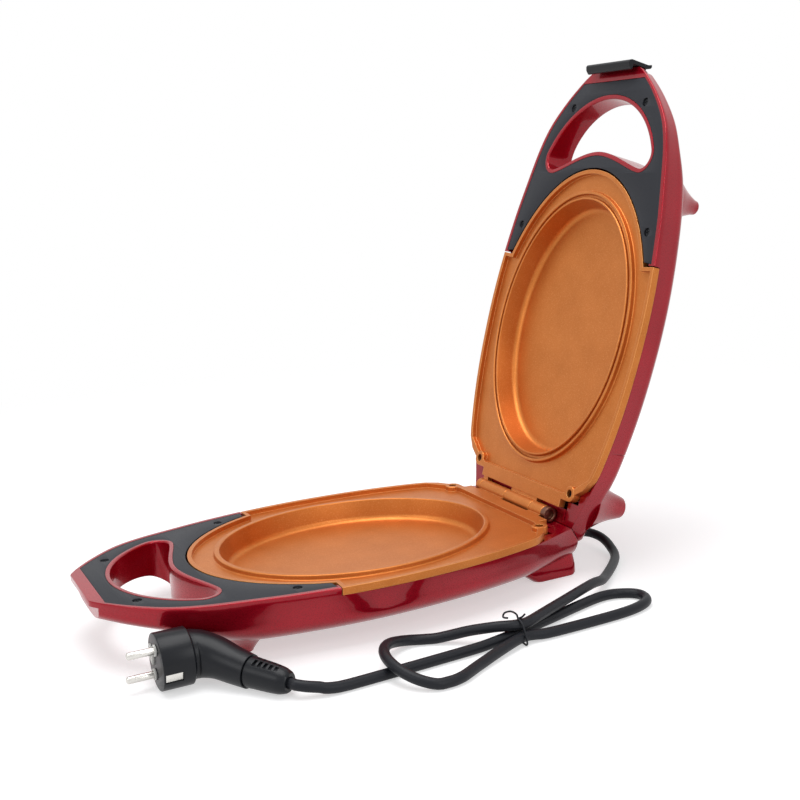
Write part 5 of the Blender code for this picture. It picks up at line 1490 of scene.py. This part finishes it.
@dataclass(frozen=True)
class PowerCord:
    """The mains lead on its route over the table, its bush and the twist tie."""

    radius: float = 0.0036
    lift: float = 0.0001
    crisp: float = 60.0
    route: Rows = (
        (0.018, -0.0085, -0.0302), (0.018, 0.014, -0.0302), (0.018, 0.0368, -0.0302), (0.0183, 0.043, -0.0306),
        (0.0215, 0.054, -0.0319), (0.031, 0.06, -0.0348), (0.045, 0.059, -0.0392), (0.062, 0.05, -0.042),
        (0.096, 0.015, -0.04), (0.109, -0.005, -0.036), (0.141, -0.068, -0.0338), (0.149, -0.088, -0.0336),
        (0.144, -0.104, -0.0336), (0.132, -0.12, -0.0372), (0.121, -0.138, -0.042), (0.115, -0.155, -0.0415),
        (0.121, -0.172, -0.0375), (0.137, -0.184, -0.034), (0.155, -0.188, -0.0344), (0.172, -0.183, -0.038),
        (0.183, -0.17, -0.042), (0.182, -0.153, -0.0424), (0.172, -0.134, -0.0424), (0.1537, -0.092, -0.0406),
        (0.154, -0.072, -0.042), (0.153, -0.02, -0.0424), (0.15, 0.004, -0.0424), (0.143, 0.018, -0.0424),
        (0.131, 0.021, -0.0424), (0.122, 0.011, -0.0424), (0.12, -0.008, -0.0424), (0.133, -0.054, -0.0422),
        (0.1446, -0.088, -0.0406), (0.148, -0.112, -0.042), (0.15, -0.138, -0.0424), (0.1535, -0.216, -0.0424),
        (0.1515, -0.235, -0.04), (0.1467, -0.2469, -0.0377), (0.142, -0.2502, -0.0372),
        (0.1197, -0.2658, -0.0349),
    )
    tie_centre: tuple[float, float, float] = (0.1493, -0.090, -0.0382)
    tie_loop: Rows = (
        (0.0, 0.0096), (0.0052, 0.0060), (0.0091, -0.0030), (0.0078, -0.0069), (0.0, -0.0070),
        (-0.0078, -0.0069), (-0.0091, -0.0030), (-0.0052, 0.0060), (0.0, 0.0096),
    )
    tie_tail: Rows = (
        (-0.0030, -0.0072, 0.0098), (-0.0050, -0.0098, 0.0104), (-0.0052, -0.0085, 0.0130),
        (-0.0030, -0.0050, 0.0140), (-0.0012, -0.0020, 0.0120),
    )
    tie_end: tuple[float, float, float] = (0.0030, 0.0020, 0.0125)
    tie_pitch: float = 0.0030
    tie_radius: float = 0.00065

    def centreline(self) -> list[Vector]:
        """Draws the cord's own line, clear of the table and inside the CAD box.

        Returns:
            Its points.
        """
        line = [p + ORIGIN for p in smooth_path(smooth_path(self.route, 2), 3)]
        furthest, lowest = CAD_BOX[1][0] - self.radius, self.radius + self.lift
        return [Vector((min(p.x, furthest), p.y, max(p.z, lowest))) for p in line]

    def build(self) -> tuple[Piece, Piece]:
        """Shows the cord as a round tube on its line, and the wire that ties its loops.

        Returns:
            The cord's piece and the tie's.
        """
        sheath = tube(self.centreline(), self.radius, 7)
        cord = piece("power_cord_sheath", sheath, RUBBER, Body.BASE, None, ["power_cord"], self.crisp)
        turns = len(self.tie_loop) - 1
        loop = [Vector((x, self.tie_pitch * (i / turns - 0.5), z)) for i, (x, z) in enumerate(self.tie_loop)]
        points = [*self.tie_tail, *loop, self.tie_end]
        wire = [Vector(self.tie_centre) + ORIGIN + p for p in smooth_path(points, 8)]
        wire = [Vector((p.x, p.y, max(p.z, self.tie_radius + self.lift))) for p in wire]
        tie = tube(wire, self.tie_radius, 4)
        return cord, piece("cord_tie_wire", tie, RUBBER, Body.BASE, None, ["cord_tie"], self.crisp)

    def bush(self, plan: PanPlan) -> None:
        """Shows the ribbed bush where the cord leaves the base.

        Args:
            plan: the pan's plan, for the cord's exit.
        """
        wall, inner, sleeve, collar, flange = 0.0153, 0.0122, 0.022, 0.0016, 0.0063
        tip, root, ribs, soft, tail, groove, slope = 0.0048, 0.0055, 5, 0.0003, 0.004, 0.0007, 0.0002
        floor, foot = 0.38, 0.42
        bore = self.radius + soft
        profile = [(bore, wall + sleeve), (tip - soft, wall + sleeve), (tip, wall + sleeve - soft)]
        start = wall + collar
        pitch = (sleeve - collar - tail) / ribs
        for rib in range(ribs, 0, -1):
            high = start + pitch * rib
            steps = ((high, 0), (high - slope, groove), (high - pitch * floor, groove), (high - pitch * foot, 0))
            for height, drop in steps:
                share = (height - start) / (sleeve - collar)
                profile.append((root + (tip - root) * share - drop, height))
        profile += [(root, start), (flange - soft, start), (flange, start - soft), (flange, wall), (root, wall)]
        profile += [(root, inner), (flange, inner), (flange, inner - collar), (bore, inner - collar)]
        mesh = moved(turned(profile, 48, hollow=True), plan.cord_exit[0], 0, plan.cord_exit[1], BACKWARDS)
        piece("cord_bush_ribbed", mesh, RUBBER, Body.BASE, HERE, ["cord_bush"], 30)


@dataclass(frozen=True)
class MainsPlug:
    """The moulded plug with two pins, pale collars, earth socket and slotted sleeve."""

    face: tuple[float, float, float] = (0.088, -0.318, -0.0275)
    roll: Matrix = Matrix.Rotation(math.radians(18), 4, "Y")
    radius: float = 0.0185
    front: float = 0.0215
    edge: float = 0.0007
    gap: float = 0.0003
    over: float = 0.004
    first_row: tuple[float, ...] = (0.0, 0.0215, 0.0, 0.0160, 0.0, 0.0)
    body_rows: Rows = (
        (0.0, 0.0240, 0.0, 0.0158, 0.0, 0.0), (0.0035, 0.0300, -0.0004, 0.0148, 24.0, -3.0),
        (0.0105, 0.0370, -0.0020, 0.0132, 46.0, -5.0), (0.0200, 0.0440, -0.0050, 0.0118, 54.0, -5.0),
        (0.0299, 0.05085, -0.0073, 0.0108, 55.0, -4.8),
    )
    pitch: float = 0.019
    pin: float = 0.0024
    pin_length: float = 0.019
    pin_root: tuple[float, float] = (0.0052, 0.006)
    pin_dome: float = 0.6
    pin_hole: float = 0.0063
    collar: tuple[float, float, float] = (0.0034, 0.0038, 0.0016)
    collar_soft: float = 0.0004
    socket_half: float = 0.0049
    socket_at: float = 0.0085
    socket_deep: float = 0.0032
    socket_proud: float = 0.0012
    socket_bore: float = 0.0072
    dimple: tuple[float, float] = (0.0006, 0.0034)
    clip: tuple[float, float, float, float] = (0.0012, 0.0122, 0.003, 0.0008)
    clip_sink: float = 0.0016
    sleeve_start: tuple[float, float, float] = (0.1183, -0.2668, -0.0348)
    sleeve_end: tuple[float, float, float] = (0.1420, -0.2502, -0.0372)
    sleeve_radii: Rows = ((0.0, 0.0098), (0.12, 0.0098), (0.78, 0.0086), (1.0, 0.0066))
    sleeve_bore: float = 0.0039
    sleeve_soft: float = 0.0006
    sleeve_taper: float = 0.96
    slots: tuple[int, float, float] = (5, 0.12, 0.66)
    slot_size: tuple[float, float] = (0.0062, 0.00105)
    slot_spread: float = 0.62
    slot_reach: tuple[float, float] = (0.0076, 0.0138)

    def ring(self, x: float, along: float, z: float, radius: float, turn: float, lean: float) -> Ring:
        """Makes a ring of the plug's body, facing back along its own direction.

        Args:
            x: the centre's place across.
            along: its place behind the face.
            z: its height.
            radius: the ring's radius.
            turn: degrees it turns aside.
            lean: degrees it leans.

        Returns:
            The ring.
        """
        aside, back = -math.radians(turn), math.radians(lean) - QUARTER
        facing = Matrix.Rotation(aside, 4, "Z") @ Matrix.Rotation(back, 4, "X")
        return [facing @ point + Vector((x, along, z)) for point in raised(circle(radius, 64), 0)]

    def body(self) -> Mesh:
        """Lofts the body: a round face, then rings on a smooth curve to the sleeve.

        Returns:
            The body's mesh.
        """
        radius, edge, front, stops = self.radius, self.edge, self.front, len(self.body_rows) - 1
        face = ((0, -1), (edge * 0.3, -0.3), (edge, 0), (front - 2 * edge, 0), (front - edge, -1))
        rows = [(0, along, 0, radius + edge * step, 0, 0) for along, step in face] + [self.first_row]
        tables = [[(i, row[k]) for i, row in enumerate(self.body_rows)] for k in range(len(self.first_row))]
        rows += [tuple(curve_through(table, s) for table in tables) for s in spread(0, stops, 4 * stops)]
        return loft([self.ring(*row) for row in rows])

    def add(self, name: str, mesh: Mesh, finish: Finish) -> Piece:
        """Shows a piece of the plug's face, rolled with it."""
        place = HERE @ Matrix.Translation(self.face) @ self.roll
        return piece(f"plug_{name}_shown", mesh, finish, Body.BASE, place, ["plug_" + name])

    def pins(self, body: Carving) -> list[Piece]:
        """Shows the pins and their collars.

        Args:
            body: the body, which gets a hole for each.

        Returns:
            Their pieces.
        """
        pieces = []
        gap, pin, length, soft = self.gap, self.pin, self.pin_length, self.collar_soft
        bore, dome, turns = pin + gap, pin * self.pin_dome, spread(0, QUARTER, 6)[1:]
        inner, outer, proud = self.collar
        profile = [(0, length)] + [(pin * math.sin(a), length - dome * (1 - math.cos(a))) for a in turns]
        profile += [(pin, self.pin_root[0]), (pin, -self.pin_root[1])]
        collar = ((inner, proud), (outer, proud - soft), (outer, gap), (bore, gap), (bore, proud))
        for name, sign in (("upper", 1), ("lower", -1)):
            down = -sign * self.pitch / 2
            hole = moved(cylinder(bore, -self.pin_hole, self.over, 32), 0, 0, down, FORWARDS)
            body.take(moved(hole, turn=self.roll))
            pieces.append(self.add("pin_" + name, moved(turned(profile, 32), 0, 0, down, FORWARDS), NICKEL))
            ring = moved(turned(collar, 40, hollow=True), 0, 0, down, FORWARDS)
            pieces.append(self.add("pin_collar_" + name, ring, PALE))
        return pieces

    def earth(self, body: Carving) -> list[Piece]:
        """Shows the earth socket beside the pins and the two side clips.

        Args:
            body: the body, which gets a seat for each.

        Returns:
            Their pieces.
        """
        half, at, gap, deep, over = self.socket_half, self.socket_at, self.gap, self.socket_deep, self.over
        low, high = (-at - half - gap, -over, -half - gap), (-at + half + gap, deep + gap, half + gap)
        body.take(moved(block(low, high), turn=self.roll))
        carrier = Carving(block((-at - half, -self.socket_proud, -half), (-at + half, deep, half)))
        carrier.take(moved(cylinder(self.pin, -over, self.socket_bore, 32), -at, 0, 0, FORWARDS))
        radius, reach = self.dimple
        for x, z in ((1, 1), (-1, -1), (1, -1), (-1, 1)):
            carrier.take(moved(cylinder(radius, radius, over, 16), -at + x * reach, 0, -z * reach, FORWARDS))
        pieces = [self.add("earth_socket", carrier.done(self.collar_soft), PALE)]
        (start, end, wide, thick), face = self.clip, self.radius - self.clip_sink
        for name, sign in (("outer", 1), ("inner", -1)):
            slot = sorted((sign * (face - gap), sign * (self.radius + over)))
            seat = block((slot[0], start - gap, -wide - gap), (slot[1], end + gap, wide + gap))
            body.take(moved(seat, turn=self.roll))
            strip = sorted((sign * face, sign * (face + thick)))
            clip = Carving(block((strip[0], start, -wide), (strip[1], end, wide))).done(self.collar_soft / 2)
            pieces.append(self.add("earth_clip_" + name, clip, NICKEL))
        return pieces

    def build(self) -> list[Piece]:
        """Shows the plug.

        Returns:
            Its pieces.
        """
        body = Carving(self.body())
        pieces = self.pins(body) + self.earth(body)
        place = HERE @ Matrix.Translation(self.face)
        pieces.append(piece("plug_body_moulding", body.done(), BLACK, Body.BASE, place, ["plug_body"], 36))
        return pieces + [self.sleeve()]

    def sleeve(self) -> Piece:
        """Shows the slotted sleeve that keeps the cord from kinking.

        Returns:
            Its piece.
        """
        start = Vector(self.sleeve_start)
        along = Vector(self.sleeve_end) - start
        length, soft, tip = along.length, self.sleeve_soft, self.sleeve_radii[-1][1]
        profile, stops = [(tip - soft, length), (tip, length - soft)], spread(0.0, self.sleeve_taper, 16)
        profile += [(curve_through(self.sleeve_radii, s), length * s) for s in reversed(stops)]
        profile += [(self.sleeve_bore, 0), (self.sleeve_bore, length)]
        sleeve = Carving(turned(profile, 56, hollow=True))
        (count, first, span), (wide, half) = self.slots, self.slot_size
        pitch = length * span / count
        for i in range(count):
            middle = length * first + pitch / 2 + i * pitch
            for across, rise in ((1, 1), (1, -1), (-1, 1), (-1, -1)):
                outer = sorted(across * reach for reach in self.slot_reach)
                low = rise * wide * self.slot_spread - wide / 2
                sleeve.take(block((low, outer[0], middle - half), (low + wide, outer[1], middle + half)))
        place = HERE @ Matrix.Translation(start) @ along.to_track_quat("Z", "Y").to_matrix().to_4x4()
        node = "plug_cord_sleeve"
        return piece(node + "_slotted", sleeve.done(), BLACK, Body.BASE, place, [node], 30)


@dataclass(frozen=True)
class InnerParts:
    """The heating and wiring parts inside the shells, which keep their solids."""

    finishes: tuple[tuple[str, Finish], ...] = (
        ("thermostat", CERAMIC), ("terminal_block", CERAMIC), ("live_wire", BROWN), ("neutral_wire", BLUE),
        ("earth_wire", GREEN), ("lamp_", LAMP_GLASS),
    )

    def build(self) -> None:
        """Gives each shown solid its finish, steel where no other is named."""
        for name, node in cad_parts.items():
            if node.hide_render:
                continue
            finish = next((finish for part, finish in self.finishes if part in name), STEEL)
            node.data.materials.clear()
            node.data.materials.append(finish.material())
            LOG.info("%s keeps its solid, in %s", name, finish.name)


# Floor, lights and camera


@dataclass(frozen=True)
class Studio:
    """A white sweep, soft lights and the photograph's camera."""

    azimuth: float = 64.24
    elevation: float = 11.85
    roll: float = 3.02
    distance: float = 0.86632
    lens: float = 54.437
    target: tuple[float, float, float] = (0.03034, -0.005489, 0.14749)
    ambient: float = 0.36
    floor_half: float = 6.0
    floor_thick: float = 0.01
    floor_rough: float = 0.6
    floor_specular: float = 0.2
    floor_grey: Colour = (0.66, 0.66, 0.67)
    floor_glow: float = 0.52
    fade: tuple[float, float] = (0.35, 0.95)
    lights: tuple = (
        ("top_softbox", (0.0, -0.1, 1.5), (1.2, 0.9), 15),
        ("front_softbox", (0.5, -1.5, 1.0), (0.9, 0.7), 5),
        ("side_strip", (1.5, 0.3, 0.9), (0.4, 1.0), 5),
    )

    def camera(self) -> None:
        """Puts the camera where the photograph was taken from."""
        az, el, roll = (math.radians(v) for v in (self.azimuth, self.elevation, self.roll))
        back = Vector((math.sin(az) * math.cos(el), -math.cos(az) * math.cos(el), math.sin(el)))
        right = (-back).cross(Vector((0, 0, 1))).normalized()
        down = (-back).cross(right)
        c, s = math.cos(roll), math.sin(roll)
        turn = Matrix((c * right + s * down, s * right - c * down, back)).transposed()
        lens = bpy.data.cameras.new("camera")
        lens.lens = self.lens
        lens.sensor_width = 36
        camera = put("camera", lens)
        camera.matrix_world = Matrix.Translation(Vector(self.target) + back * self.distance) @ turn.to_4x4()
        bpy.context.scene.camera = camera

    def world(self) -> None:
        """A white world that lights the pan at its own level."""
        sheet = Sheet(bpy.data.worlds.new("studio"))
        levels = (self.ambient, 1.0)
        dim, bright = (sheet.node("Background", {}, {"Strength": level, "Color": WHITE}) for level in levels)
        sheet.show(sheet.node("MixShader", {}, {0: sheet.seen(), 1: dim, 2: bright}))
        bpy.context.scene.world = sheet.owner

    def light(self, name: str, at: Sequence[float], size: tuple[float, float], power: float) -> None:
        """Adds a soft rectangular light that looks at the pan.

        Args:
            name: its name.
            at: its place.
            size: its width and height.
            power: its power in watts.
        """
        lamp = bpy.data.lights.new(name, "AREA")
        lamp.shape = "RECTANGLE"
        lamp.size, lamp.size_y = size
        lamp.energy = power
        holder = put(name, lamp)
        holder.location = at
        holder.rotation_euler = (Vector(self.target) - Vector(at)).to_track_quat("-Z", "Y").to_euler()

    def floor(self) -> None:
        """Lays a pale floor that keeps the pan's soft shadow and turns white further out."""
        half = self.floor_half
        floor = put("floor", block((-half, -half, -self.floor_thick), (half, half, 0)))
        sheet = Sheet(bpy.data.materials.new("floor_white"))
        sheet.set(Base_Color=(*self.floor_grey, 1), Roughness=self.floor_rough)
        sheet.set(Specular_IOR_Level=self.floor_specular)
        far = sheet.node("VectorMath", {"operation": "LENGTH"}, {0: sheet.place()}, "Value")
        ends = {0: far, 1: self.fade[0], 2: self.fade[1]}
        fade = sheet.node("MapRange", {"interpolation_type": "SMOOTHSTEP"}, ends)
        seen = sheet.seen()
        levels = (1.0, seen * self.floor_glow)
        white, glow = (sheet.node("Emission", {}, {"Color": WHITE, "Strength": level}) for level in levels)
        near = sheet.node("AddShader", {}, {0: Value(sheet, sheet.shader.outputs[0]), 1: glow})
        sheet.show(sheet.node("MixShader", {}, {0: fade * seen, 1: near, 2: white}))
        floor.data.materials.append(sheet.owner)

    def build(self) -> None:
        """Sets the scene round the pan."""
        bpy.context.scene.view_settings.view_transform = "Standard"
        self.world()
        self.floor()
        for light in self.lights:
            self.light(*light)
        self.camera()


def main() -> None:
    """Builds the pan, piece by piece, and the studio round it."""
    logging.basicConfig(level=logging.INFO, format="%(name)s: %(message)s")
    Studio().build()
    over = HERE @ Euler((OPEN_ANGLE, math.pi, 0)).to_matrix().to_4x4()
    base = Half("base", Body.BASE, 0.042, 0.046, 1, HERE)
    lid = Half("lid", Body.LID, 0.036, 0.05785, -1, over)
    cord = PowerCord()
    sheath, tie = cord.build()
    cord.bush(base.plan)
    plug = MainsPlug().build()
    line = cord.centreline()
    for half in (base, lid):
        Shell(half).build()
        HandlePanel(half).build()
        PanPlate(half).build()
    HingePin().build()
    Latch(lid).build()
    Lamps(lid).build()
    InnerParts().build()


if __name__ == "__main__":
    main()
